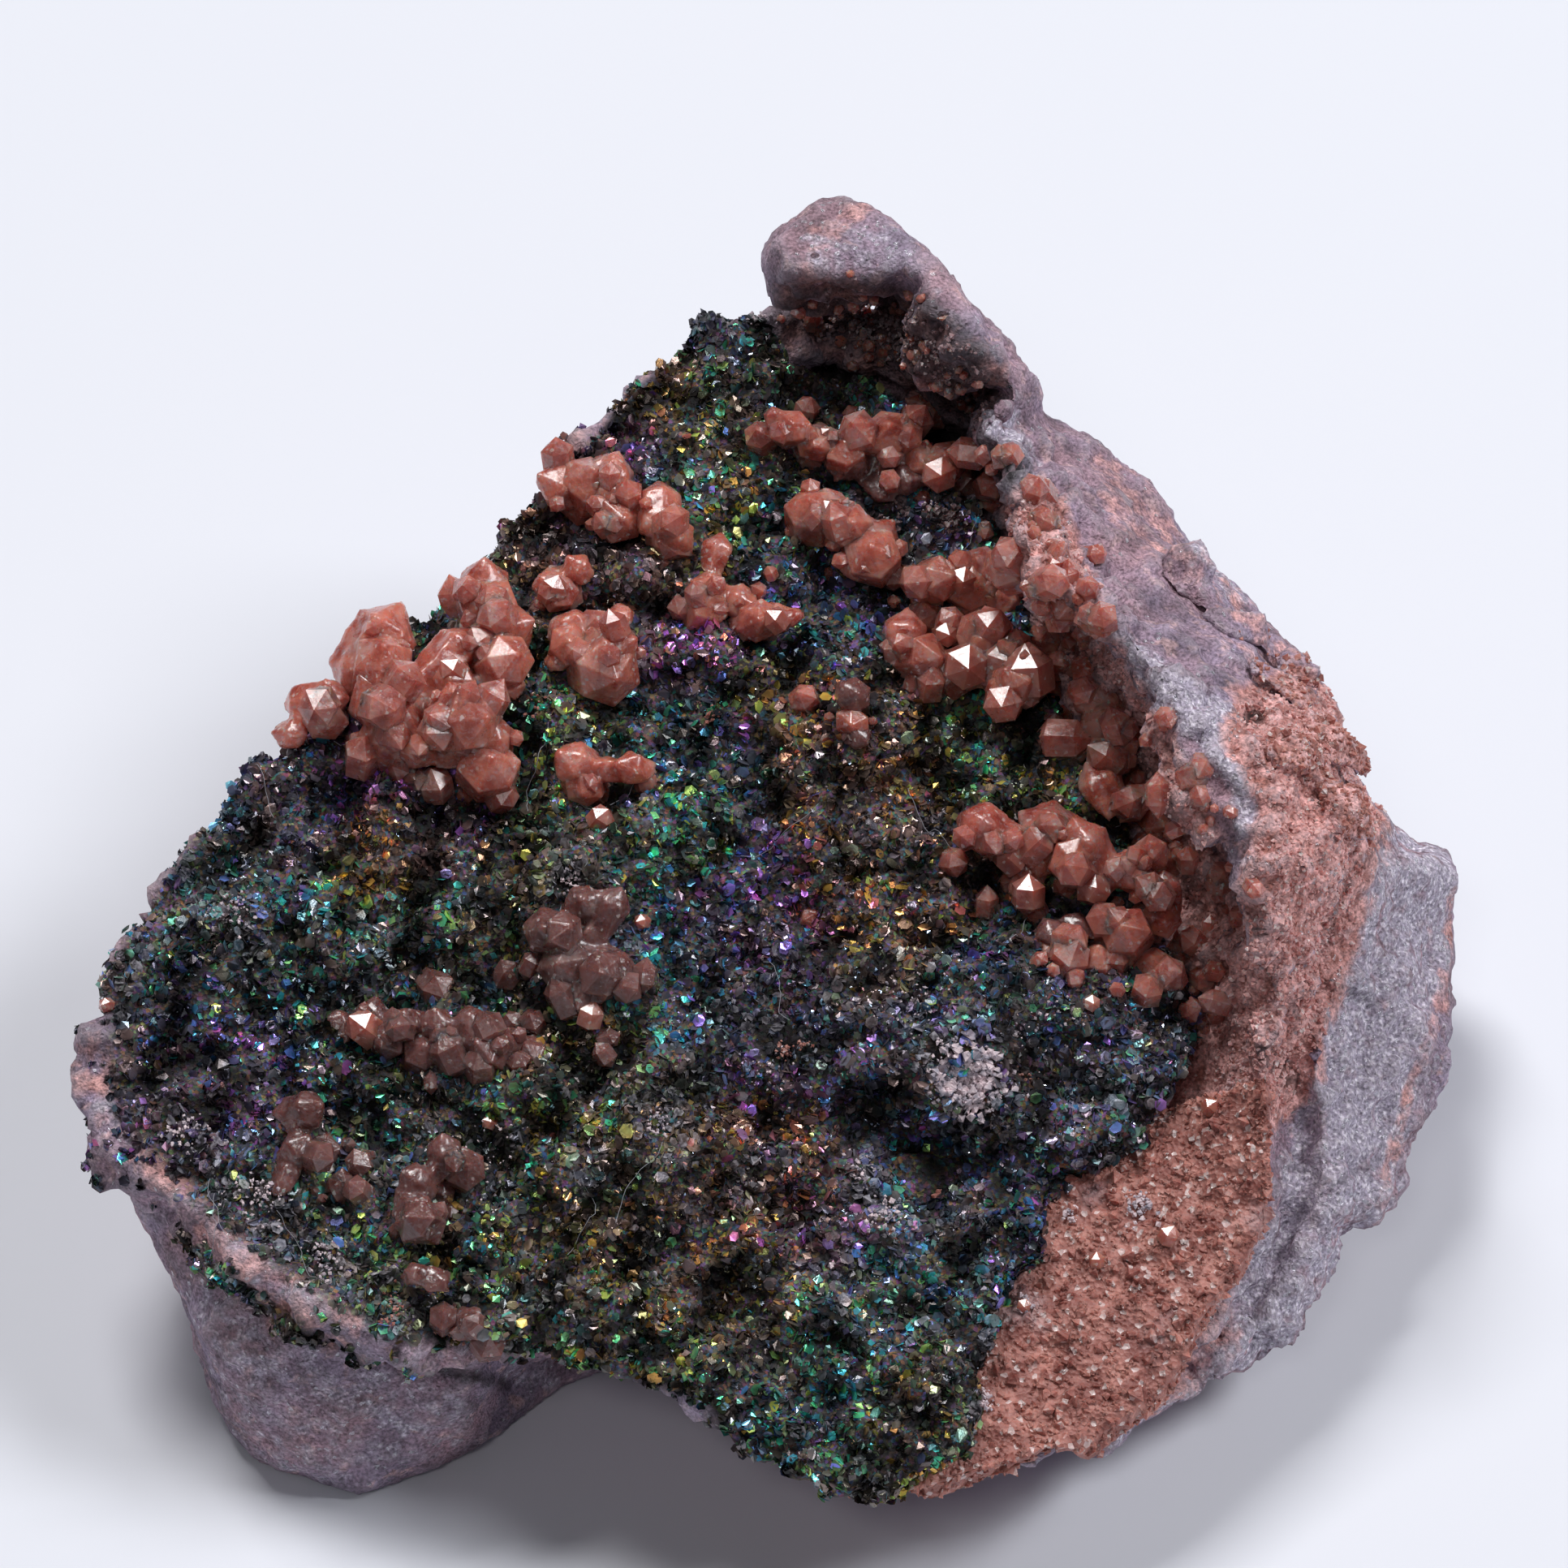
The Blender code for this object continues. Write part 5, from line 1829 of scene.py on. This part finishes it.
@dataclass
class QuartzClusters:
    """The groups of brick-red crystals, and the small crystals round them."""

    voxel: float = 0.103
    edge_width: float = 0.045
    edge_angle: float = 20.0
    dusty_below: float = 1110.0
    dusty_left_of: float = 900.0
    rising_ways: RGB = (0.5, 0.7, 0.5)
    rising_sink: float = 0.45
    rising_lean: float = 0.6
    rising_depth: Span = (0.82, 1.08)
    rising_length: Span = (1.1, 1.45)
    small_least: float = 0.45
    small_rarity: float = 1.5
    small_upright: float = 0.5
    small_spread: float = 0.8
    small_lean: float = 1.0
    small_length: Span = (1.15, 1.7)
    small_lift: float = 0.25
    glint_length: float = 1.3
    glint_lift: float = 0.35
    seed: int = 23
    reliefs: tuple[Relief, ...] = (
        Relief(ReliefKind.LUMPS, 0.9, 0.16),
        Relief(ReliefKind.LUMPS, 0.3, 0.07),
    )
    rising_reliefs: tuple[Relief, ...] = (Relief(ReliefKind.LUMPS, 0.6, 0.30),)
    small_reliefs: tuple[Relief, ...] = (Relief(ReliefKind.LUMPS, 0.4, 0.16),)
    dusty_named: tuple[str, ...] = ("lower", "front", "row", "dusty")
    shaded_named: tuple[str, ...] = ("right", "_top")
    bright: QuartzFinish = QuartzFinish()
    # A darker copy of the finish, as painted shade for the groups in the shade of the rim
    deep: QuartzFinish = QuartzFinish(
        "shaded_quartz", (0.360, 0.062, 0.044), (0.760, 0.215, 0.150), (0.82, 0.50, 0.45)
    )
    dusty: QuartzFinish = QuartzFinish(
        "dusty_quartz",
        (0.130, 0.042, 0.036),
        (0.260, 0.100, 0.090),
        (0.460, 0.280, 0.260),
        (0.380, 0.300, 0.320),
    )
    clear: QuartzFinish = QuartzFinish(
        "clear_quartz",
        (0.360, 0.080, 0.055),
        (0.620, 0.210, 0.150),
        dust_share=0.1,
        roughness=(0.08, 0.18),
        clear=0.25,
        coat=1.0,
    )
    patches: tuple[Patch, ...] = (
        Patch(1000, 530, 34, 12),
        Patch(1095, 545, 34, 10, 0.5),
        Patch(1160, 575, 30, 9),
        Patch(1235, 600, 30, 10),
        Patch(1010, 640, 34, 8),
        Patch(1070, 690, 34, 8),
        Patch(1150, 715, 34, 10),
        Patch(1240, 700, 36, 12),
        Patch(1295, 650, 26, 10, 0.36),
        Patch(1320, 760, 30, 12, 0.38),
        Patch(1130, 820, 36, 10),
        Patch(1210, 800, 34, 10, 0.5),
        Patch(1290, 860, 36, 12, 0.5),
        Patch(1350, 900, 34, 12),
        Patch(1400, 970, 34, 14),
        Patch(1445, 1040, 30, 12, 0.4),
        Patch(1420, 1120, 34, 12, 0.45),
        Patch(1465, 1170, 26, 10, 0.36),
        Patch(1485, 1240, 22, 8, 0.34),
        Patch(1385, 1190, 32, 10, 0.5),
        Patch(1300, 1180, 30, 8, 0.48),
        Patch(1330, 1080, 40, 8),
        Patch(1250, 1070, 30, 5),
        Patch(1200, 1040, 22, 4, 0.32),
        Patch(720, 610, 34, 8),
        Patch(760, 640, 26, 6),
        Patch(825, 660, 20, 5),
        Patch(600, 750, 34, 8, 0.5),
        Patch(615, 825, 32, 7),
        Patch(690, 735, 26, 5, 0.36),
        Patch(740, 800, 34, 9),
        Patch(860, 745, 28, 6, 0.34),
        Patch(930, 760, 34, 6, 0.4),
        Patch(470, 830, 30, 5, 0.5),
        Patch(490, 905, 30, 6, 0.5),
        Patch(570, 890, 34, 7),
        Patch(605, 955, 34, 7),
        Patch(400, 885, 20, 3, 0.5),
        Patch(530, 950, 24, 6),
        Patch(725, 970, 22, 3, 0.36),
        Patch(1050, 890, 26, 4, 0.36),
        Patch(700, 1190, 40, 10),
        Patch(745, 1235, 30, 7),
        Patch(480, 1270, 24, 5),
        Patch(560, 1290, 34, 9),
        Patch(650, 1300, 30, 7),
        Patch(400, 1425, 30, 6, 0.4),
        Patch(425, 1465, 26, 5, 0.36),
        Patch(525, 1505, 26, 6),
        Patch(575, 1440, 14, 3, 0.5),
        Patch(580, 1630, 22, 4),
        Patch(1050, 395, 36, 30, 0.16),
        Patch(1120, 430, 34, 34, 0.16),
        Patch(1180, 475, 26, 16, 0.16),
        Patch(985, 400, 16, 5, 0.30),
        Patch(1480, 1000, 30, 8, 0.34),
        Patch(1500, 1090, 26, 8, 0.34),
    )
    points: tuple[Point, ...] = (
        Point(720, 605, 40),
        Point(762, 640, 34),
        Point(825, 660, 30),
        Point(600, 748, 38),
        Point(620, 818, 36),
        Point(690, 732, 22),
        Point(560, 838, 26),
        Point(470, 828, 46),
        Point(490, 905, 44),
        Point(572, 888, 40),
        Point(400, 885, 28),
        Point(602, 950, 38),
        Point(742, 822, 44),
        Point(702, 798, 28),
        Point(870, 750, 34),
        Point(935, 765, 30),
        Point(975, 530, 26),
        Point(1005, 548, 28),
        Point(1040, 560, 28),
        Point(1095, 540, 34),
        Point(1135, 572, 26),
        Point(1165, 570, 28),
        Point(1000, 638, 34),
        Point(1045, 650, 30),
        Point(1075, 686, 38),
        Point(1120, 710, 24),
        Point(1150, 716, 30),
        Point(1192, 722, 34),
        Point(1242, 702, 30),
        Point(1236, 742, 26),
        Point(1130, 812, 36),
        Point(1170, 832, 30),
        Point(1212, 800, 34),
        Point(1250, 842, 30),
        Point(1292, 850, 26),
        Point(1310, 742, 28),
        Point(1292, 790, 24),
        Point(1342, 830, 26),
        Point(1362, 890, 34),
        Point(1400, 905, 24),
        Point(1397, 985, 36),
        Point(1430, 1012, 28),
        Point(1442, 1062, 28),
        Point(722, 968, 26),
        Point(1282, 1050, 36),
        Point(1322, 1062, 32),
        Point(1300, 1172, 30),
        Point(1350, 1192, 28),
        Point(1390, 1152, 34),
        Point(1432, 1132, 26),
        Point(1460, 1172, 26),
        Point(1420, 1192, 24),
        Point(700, 1190, 34),
        Point(742, 1200, 30),
        Point(690, 1150, 26),
        Point(480, 1282, 24),
        Point(520, 1300, 26),
        Point(560, 1290, 28),
        Point(602, 1295, 26),
        Point(650, 1302, 26),
        Point(400, 1420, 28),
        Point(425, 1466, 24),
        Point(520, 1506, 28),
        Point(575, 1440, 20),
        Point(540, 1470, 20),
        Point(580, 1630, 22),
        Point(1050, 890, 24),
        Point(1000, 1130, 16),
    )
    glints: tuple[Glint, ...] = (
        Glint(1190, 826, 0.75),
        Glint(1268, 838, 0.85),
        Glint(1165, 785, 0.42),
        Glint(1186, 718, 0.48),
        Glint(740, 1012, 0.42),
        Glint(452, 1272, 0.60),
        Glint(728, 1255, 0.45),
        Glint(1246, 1062, 0.52),
        Glint(1268, 1106, 0.55),
        Glint(682, 728, 0.42),
        Glint(958, 768, 0.42),
        Glint(796, 968, 0.38),
        Glint(1024, 632, 0.40),
        Glint(1390, 938, 0.30),
        Glint(1345, 1238, 0.28),
        Glint(132, 1240, 0.24),
        Glint(792, 1138, 0.26),
        Glint(604, 1385, 0.24),
        Glint(1352, 1556, 0.26),
        Glint(1262, 1610, 0.24),
        Glint(1492, 1366, 0.30),
        Glint(1440, 1525, 0.34),
        Glint(1420, 1130, 0.34),
        Glint(560, 830, 0.46),
        Glint(1348, 1100, 0.52),
    )

    def build(self, grounds: Sequence[bpy.types.Object]) -> None:
        """Shapes and dresses every group and the small crystals.

        Args:
            grounds: The pieces on which the small crystals stand.
        """
        bright, deep, dusty = self.bright.make(), self.deep.make(), self.dusty.make()
        groups = self._groups(bright, deep, dusty)
        trees = [tree_of(ground) for ground in (*grounds, *groups)]
        self._grow("quartz", bright, deep, False, trees)
        self._grow("dusty_quartz", dusty, dusty, True, trees)
        clear = self.clear.make()
        shining = joined_copies("shining_quartz", point_shape(), self._glint_places(trees))
        finish_piece(shining, clear)

    def _groups(
        self, bright: bpy.types.Material, deep: bpy.types.Material, dusty: bpy.types.Material
    ) -> list[bpy.types.Object]:
        """Shapes and dresses the groups of large crystals.

        Args:
            bright: The finish of most groups.
            deep: The finish of the groups in the shade of the rim, a darker copy with painted
                shade.
            dusty: The finish of the groups at the lower left.

        Returns:
            The groups.
        """
        groups = []
        for name in sorted(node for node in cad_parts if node.startswith("quartz_")):
            group = copy_of_node(name, f"{name}_crystals")
            remesh(group, self.voxel)
            roughen(group, self.reliefs)
            smooth_shading(group)
            # Groups in the shade of the rim get the darker copy as painted shade
            material = deep if name.endswith(self.shaded_named) else bright
            if any(word in name for word in self.dusty_named):
                material = dusty
            finish_piece(group, material, [name])
            groups.append(group)
        return groups

    def _grow(
        self,
        name: str,
        material: bpy.types.Material,
        small_material: bpy.types.Material,
        lower: bool,
        trees: Sequence[BVHTree],
    ) -> None:
        """Grows the crystals that rise from the groups, and the small ones round them.

        Args:
            name: What the crystals are called.
            material: The finish of the rising crystals.
            small_material: The finish of the small crystals.
            lower: Whether these are the ones at the lower left or all the others.
            trees: The surfaces that they stand on.
        """
        points = [point for point in self.points if self._is_lower(point) == lower]
        rising = joined_copies(f"rising_{name}", point_shape(), self._rising_places(points, trees))
        roughen(rising, self.rising_reliefs)
        self._round_edges(rising)
        finish_piece(rising, material)
        patches = [patch for patch in self.patches if self._is_lower(patch) == lower]
        small = joined_copies(f"small_{name}", point_shape(), self._small_places(patches, trees))
        roughen(small, self.small_reliefs)
        finish_piece(small, small_material)

    def _is_lower(self, place: Patch | Point) -> bool:
        """Whether a crystal stands in the dusty groups at the lower left."""
        return place.down > self.dusty_below and place.across < self.dusty_left_of

    def _round_edges(self, crystals: bpy.types.Object) -> None:
        """Rounds the edges of joined crystals a little.

        Args:
            crystals: The piece of joined crystals.
        """
        apply_modifier(
            crystals,
            "BEVEL",
            width=self.edge_width * MM,
            segments=2,
            limit_method="ANGLE",
            angle_limit=math.radians(self.edge_angle),
        )
        move_vertices(crystals.data, inside_box(coordinates(crystals.data)))

    def _rising_places(self, points: Sequence[Point], trees: Sequence[BVHTree]) -> Places:
        """Finds where the crystals with clear faces rise from the groups.

        Args:
            points: The crystals.
            trees: The surfaces that they stand on.

        Returns:
            Their places.
        """
        chance = np.random.default_rng(self.seed + 1)
        # Each points between the normal, straight up and the camera
        outward, upward, forward = self.rising_ways
        centres, ways, radii = [], [], []
        for point in points:
            found = PICTURE.land(point.across, point.down, trees)
            if found is None:
                continue
            to_eye = PICTURE.ways_to_eye(np.array([found[0]]))[0]
            radii.append(point.radius * DOT * MM)
            centres.append(np.array(found[0]) - to_eye * radii[-1] * self.rising_sink)
            ways.append(np.array(found[1]) * outward + UP * upward + to_eye * forward)
        count = len(radii)
        ahead = np.array(ways) / np.linalg.norm(ways, axis=1)[:, None]
        lean = chance.uniform(0.0, self.rising_lean, count)
        axes = axes_round(leaning(ahead, lean, chance), chance)
        radius = np.array(radii)
        depth = radius * chance.uniform(*self.rising_depth, count)
        length = radius * chance.uniform(*self.rising_length, count)
        return Places(np.array(centres), axes, np.stack([radius, depth, length], axis=1))

    def _small_places(self, patches: Sequence[Patch], trees: Sequence[BVHTree]) -> Places:
        """Finds where the small crystals stand in their patches.

        Args:
            patches: The patches.
            trees: The surfaces that they stand on.

        Returns:
            Their places.
        """
        chance = np.random.default_rng(self.seed)
        centres, normals, radii = [], [], []
        for patch in patches:
            for _ in range(patch.count):
                spread = patch.reach * self.small_spread
                across, down = chance.normal((patch.across, patch.down), spread)
                size = patch.size * (self.small_least + chance.random() ** self.small_rarity)
                found = PICTURE.land(across, down, trees)
                if found is not None:
                    centres.append(found[0])
                    normals.append(found[1])
                    radii.append(size * MM)
        way = np.array(normals) + self.small_upright * UP
        way /= np.linalg.norm(way, axis=1)[:, None]
        lean = chance.uniform(0.0, self.small_lean, len(way))
        axes = axes_round(leaning(way, lean, chance), chance)
        radius = np.array(radii)
        length = radius * chance.uniform(*self.small_length, len(way))
        lifted = np.array(centres) + way * radius[:, None] * self.small_lift
        return Places(lifted, axes, np.stack([radius, radius, length], axis=1))

    def _glint_places(self, trees: Sequence[BVHTree]) -> Places:
        """Finds where the shining crystals stand, each with one face turned to the key light.

        Args:
            trees: The surfaces that they stand on.

        Returns:
            Their places.
        """
        chance = np.random.default_rng(self.seed)
        slope = math.atan2((1.0 - PRISM_SHARE) * self.glint_length, math.cos(HALF_SIDE))
        centres, axes, sizes = [], [], []
        for glint in self.glints:
            found = PICTURE.land(glint.across, glint.down, trees)
            if found is None:
                continue
            place = np.array(found[0])
            to_light = np.array(KEY_LIGHT.place) * MM - place
            half = to_light / np.linalg.norm(to_light) + PICTURE.ways_to_eye(place[None])[0]
            half /= np.linalg.norm(half)
            side = axes_round(half[None], chance)[0, 0]
            ahead = math.cos(slope) * half - math.sin(slope) * side
            out = math.sin(slope) * half + math.cos(slope) * side
            beside = np.cross(ahead, out)
            first = math.cos(HALF_SIDE) * out - math.sin(HALF_SIDE) * beside
            axes.append([first, np.cross(ahead, first), ahead])
            size = glint.size * MM
            sizes.append([size, size, size * self.glint_length])
            centres.append(place + half * size * self.glint_lift)
        return Places(np.array(centres), np.array(axes), np.array(sizes))


@dataclass
class Crumbs:
    """Lumps of pale powder and scraps of salmon quartz, and brown crumbs under the knob."""

    spread: float = 0.6
    steepness: float = 0.4
    lift: float = 0.12
    growth: Span = (0.35, 0.8)
    stretch: Span = (0.6, 1.2)
    seed: int = 29
    powder: tuple[Patch, ...] = (
        Patch(1195, 1335, 34, 420, 0.17),
        Patch(1175, 1300, 18, 40, 0.11),
        Patch(1085, 1500, 20, 60, 0.10),
        Patch(1060, 1440, 16, 36, 0.09),
        Patch(810, 1385, 15, 40, 0.09),
        Patch(700, 1085, 14, 40, 0.09),
        Patch(745, 1150, 12, 26, 0.09),
        Patch(936, 386, 12, 30, 0.11),
        Patch(285, 1130, 24, 60, 0.08),
        Patch(1212, 1730, 12, 60, 0.09),
        Patch(1262, 1610, 9, 40, 0.09),
        Patch(1320, 1500, 9, 30, 0.09),
        Patch(320, 1480, 30, 90, 0.09),
        Patch(400, 1555, 24, 60, 0.09),
        Patch(230, 1400, 20, 50, 0.09),
        Patch(1405, 1490, 16, 60, 0.11),
        Patch(1300, 1270, 40, 60, 0.07),
        Patch(1120, 1240, 40, 60, 0.07),
        Patch(950, 1340, 40, 50, 0.07),
        Patch(590, 1440, 60, 60, 0.06),
        Patch(1150, 620, 20, 30, 0.07),
    )
    salmon: tuple[Patch, ...] = (
        Patch(965, 1298, 10, 24, 0.11),
        Patch(990, 1292, 8, 16, 0.09),
        Patch(875, 885, 8, 18, 0.10),
        Patch(860, 870, 6, 12, 0.08),
        Patch(655, 872, 12, 16, 0.08),
        Patch(1265, 1330, 10, 12, 0.08),
        Patch(560, 1640, 16, 30, 0.12),
        Patch(735, 500, 12, 30, 0.10),
        Patch(480, 1620, 20, 30, 0.09),
        Patch(970, 940, 14, 16, 0.08),
    )
    brown: tuple[Patch, ...] = (
        Patch(1105, 625, 18, 60, 0.15),
        Patch(1168, 642, 20, 90, 0.15),
        Patch(1050, 395, 34, 150, 0.13),
        Patch(1110, 415, 34, 150, 0.13),
        Patch(1165, 450, 30, 130, 0.13),
        Patch(1200, 490, 20, 70, 0.12),
    )
    brown_finish: SugarFinish = SugarFinish(
        "brown_crumbs", (0.075, 0.048, 0.052), (0.300, 0.200, 0.215)
    )

    def build(self, sugar: bpy.types.Material, grounds: Sequence[bpy.types.Object]) -> None:
        """Shapes and dresses the crumbs.

        Args:
            sugar: The finish of the salmon scraps.
            grounds: The pieces that they lie on.
        """
        trees = [tree_of(ground) for ground in grounds]
        chance = np.random.default_rng(self.seed)
        for name, patches, material, slot in (
            ("powder_lumps", self.powder, PowderFinish().make(), "hematite_crust"),
            ("salmon_scraps", self.salmon, sugar, "hematite_crust"),
            ("brown_lumps", self.brown, self.brown_finish.make(), "matrix"),
        ):
            piece = joined_copies(name, grain_shape(), self._places(patches, trees, chance))
            finish_piece(piece, material)

    def _places(
        self, patches: Sequence[Patch], trees: Sequence[BVHTree], chance: np.random.Generator
    ) -> Places:
        """Finds where the grains of some patches lie, heaped towards the middle of each.

        Args:
            patches: The patches.
            trees: The surfaces that they lie on.
            chance: The source of random numbers.

        Returns:
            The places of the grains.
        """
        centres, radii = [], []
        for patch in patches:
            for _ in range(patch.count):
                off = chance.normal(0.0, self.spread, 2)
                across = patch.across + off[0] * patch.reach
                down = patch.down + off[1] * patch.reach
                found = PICTURE.land(across, down, trees)
                if found is None:
                    continue
                heap = math.exp(-float(off @ off)) * patch.reach * DOT * self.steepness
                rise = self.lift + heap * chance.random()
                centres.append(np.array(found[0]) + UP * rise * MM)
                least, more = self.growth
                radii.append(patch.size * (least + more * chance.random()) * MM)
        radius = np.array(radii)[:, None]
        ways = chance.normal(size=(len(radius), 3))
        ways /= np.linalg.norm(ways, axis=1)[:, None]
        sizes = radius * chance.uniform(*self.stretch, (len(radius), 3))
        return Places(np.array(centres), axes_round(ways, chance), sizes)


@dataclass
class Lint:
    """Fine pale fibres that have settled on the crust."""

    fibres: int = 16
    radius: float = 0.009
    length: float = 3.0
    steps: int = 14
    wander: float = 0.35
    lift: float = 0.3
    level: Span = (0.5, 0.9)
    fewest_points: int = 3
    seed: int = 5

    def build(self, ground: bpy.types.Object) -> None:
        """Shapes and dresses the fibres.

        Args:
            ground: The piece that they lie on.
        """
        chance = np.random.default_rng(self.seed)
        tree = tree_of(ground)
        curve = bpy.data.curves.new("lint", "CURVE")
        curve.dimensions = "3D"
        curve.bevel_depth = self.radius * MM
        curve.bevel_resolution = 0
        curve.use_fill_caps = True
        starts, _ = surface_places(
            ground, self.fibres, chance, lambda where, way: smooth_step(*self.level, way[:, 2])
        )
        for start in starts:
            self._lay_fibre(curve, start, tree, chance)
        fibres = bpy.data.objects.new("lint_fibres", curve)
        bpy.context.scene.collection.objects.link(fibres)
        make_active(fibres)
        bpy.ops.object.convert(target="MESH")
        fibres = bpy.context.view_layer.objects.active
        finish_piece(fibres, LintFinish().make())

    def _lay_fibre(
        self, curve: bpy.types.Curve, start: np.ndarray, tree: BVHTree, chance: np.random.Generator
    ) -> None:
        """Adds one fibre to the curve, laid over the ground from its start.

        Args:
            curve: The curve of all the fibres.
            start: Where the fibre starts.
            tree: The surface that it lies on.
            chance: The source of random numbers.
        """
        heading = chance.uniform(0.0, 2.0 * math.pi)
        place = start.copy()
        points = []
        stride = self.length * MM / self.steps
        for _ in range(self.steps):
            hit = tree.ray_cast(Vector((place[0], place[1], cad_high.z)), Vector(-UP))[0]
            if hit is not None:
                points.append((hit.x, hit.y, min(hit.z + self.lift * MM, cad_high.z)))
            heading += chance.normal(0.0, self.wander)
            place = place + stride * np.array([math.cos(heading), math.sin(heading), 0.0])
        if len(points) < self.fewest_points:
            return
        spline = curve.splines.new("POLY")
        spline.points.add(len(points) - 1)
        for point, where in zip(spline.points, points, strict=True):
            point.co = (*where, 1.0)


@dataclass
class Studio:
    """The pale floor, the soft lights and the camera."""

    sky: RGB = (0.86, 0.90, 1.0)
    sky_strength: float = 0.075
    floor_width: float = 4000.0
    clip: Span = (10.0, 10000.0)
    lights: tuple[SoftLight, ...] = (KEY_LIGHT, FILL_LIGHT, FRONT_LIGHT)

    def build(self) -> None:
        """Sets up the floor, the lights, the sky and the camera."""
        self._floor()
        for number, light in enumerate(self.lights, start=1):
            self._hang(f"soft_light_{number}", light)
        world = bpy.data.worlds.new("pale_room")
        world.use_nodes = True
        background = world.node_tree.nodes["Background"]
        background.inputs["Color"].default_value = (*self.sky, 1.0)
        background.inputs["Strength"].default_value = self.sky_strength
        bpy.context.scene.world = world
        bpy.context.scene.view_settings.view_transform = "Standard"
        self._camera()

    def _floor(self) -> None:
        """Lays the pale sheet."""
        deselect_all()
        bpy.ops.mesh.primitive_plane_add(size=self.floor_width * MM, location=(0.0, 0.0, 0.0))
        floor = bpy.context.view_layer.objects.active
        floor.name = "pale_floor"
        floor.data.materials.append(FloorFinish().make())

    def _hang(self, name: str, light: SoftLight) -> None:
        """Hangs one light and aims it at the specimen.

        Args:
            name: The name of the light.
            light: Its place, width, power and colour.
        """
        lamp = bpy.data.lights.new(name, "AREA")
        lamp.size, lamp.energy, lamp.color = light.width * MM, light.power, light.colour
        hung = bpy.data.objects.new(name, lamp)
        hung.location = Vector(light.place) * MM
        aim = Vector(PICTURE.target) * MM - hung.location
        hung.rotation_euler = aim.to_track_quat("-Z", "Y").to_euler()
        bpy.context.scene.collection.objects.link(hung)

    def _camera(self) -> None:
        """Sets the camera at the photograph's angle."""
        data = bpy.data.cameras.new("camera")
        data.lens, data.sensor_width = PICTURE.lens, PICTURE.sensor
        data.clip_start, data.clip_end = self.clip[0] * MM, self.clip[1] * MM
        camera = bpy.data.objects.new("camera", data)
        camera.location = Vector(PICTURE.eye())
        camera.rotation_euler = (-Vector(PICTURE.back())).to_track_quat("-Z", "Y").to_euler()
        bpy.context.scene.collection.objects.link(camera)
        bpy.context.scene.camera = camera


def main() -> None:
    """Builds the specimen and the studio round it."""
    logging.basicConfig(level=logging.INFO, format="%(name)s: %(message)s")
    sugar = SugarFinish().make()
    rock = Rock().build(PALE_SUGAR.make())
    band = QUARTZ_BAND.build(sugar, sugar, FRONT_UNDERSIDE)
    vein = QUARTZ_VEIN.build(RockFinish("stained_vein").make(), sugar)
    ground = HematiteCrust().build()
    QuartzClusters().build([ground, rock, band, vein])
    Crumbs().build(sugar, [ground, rock, band])
    Lint().build(ground)
    Studio().build()


if __name__ == "__main__":
    main()
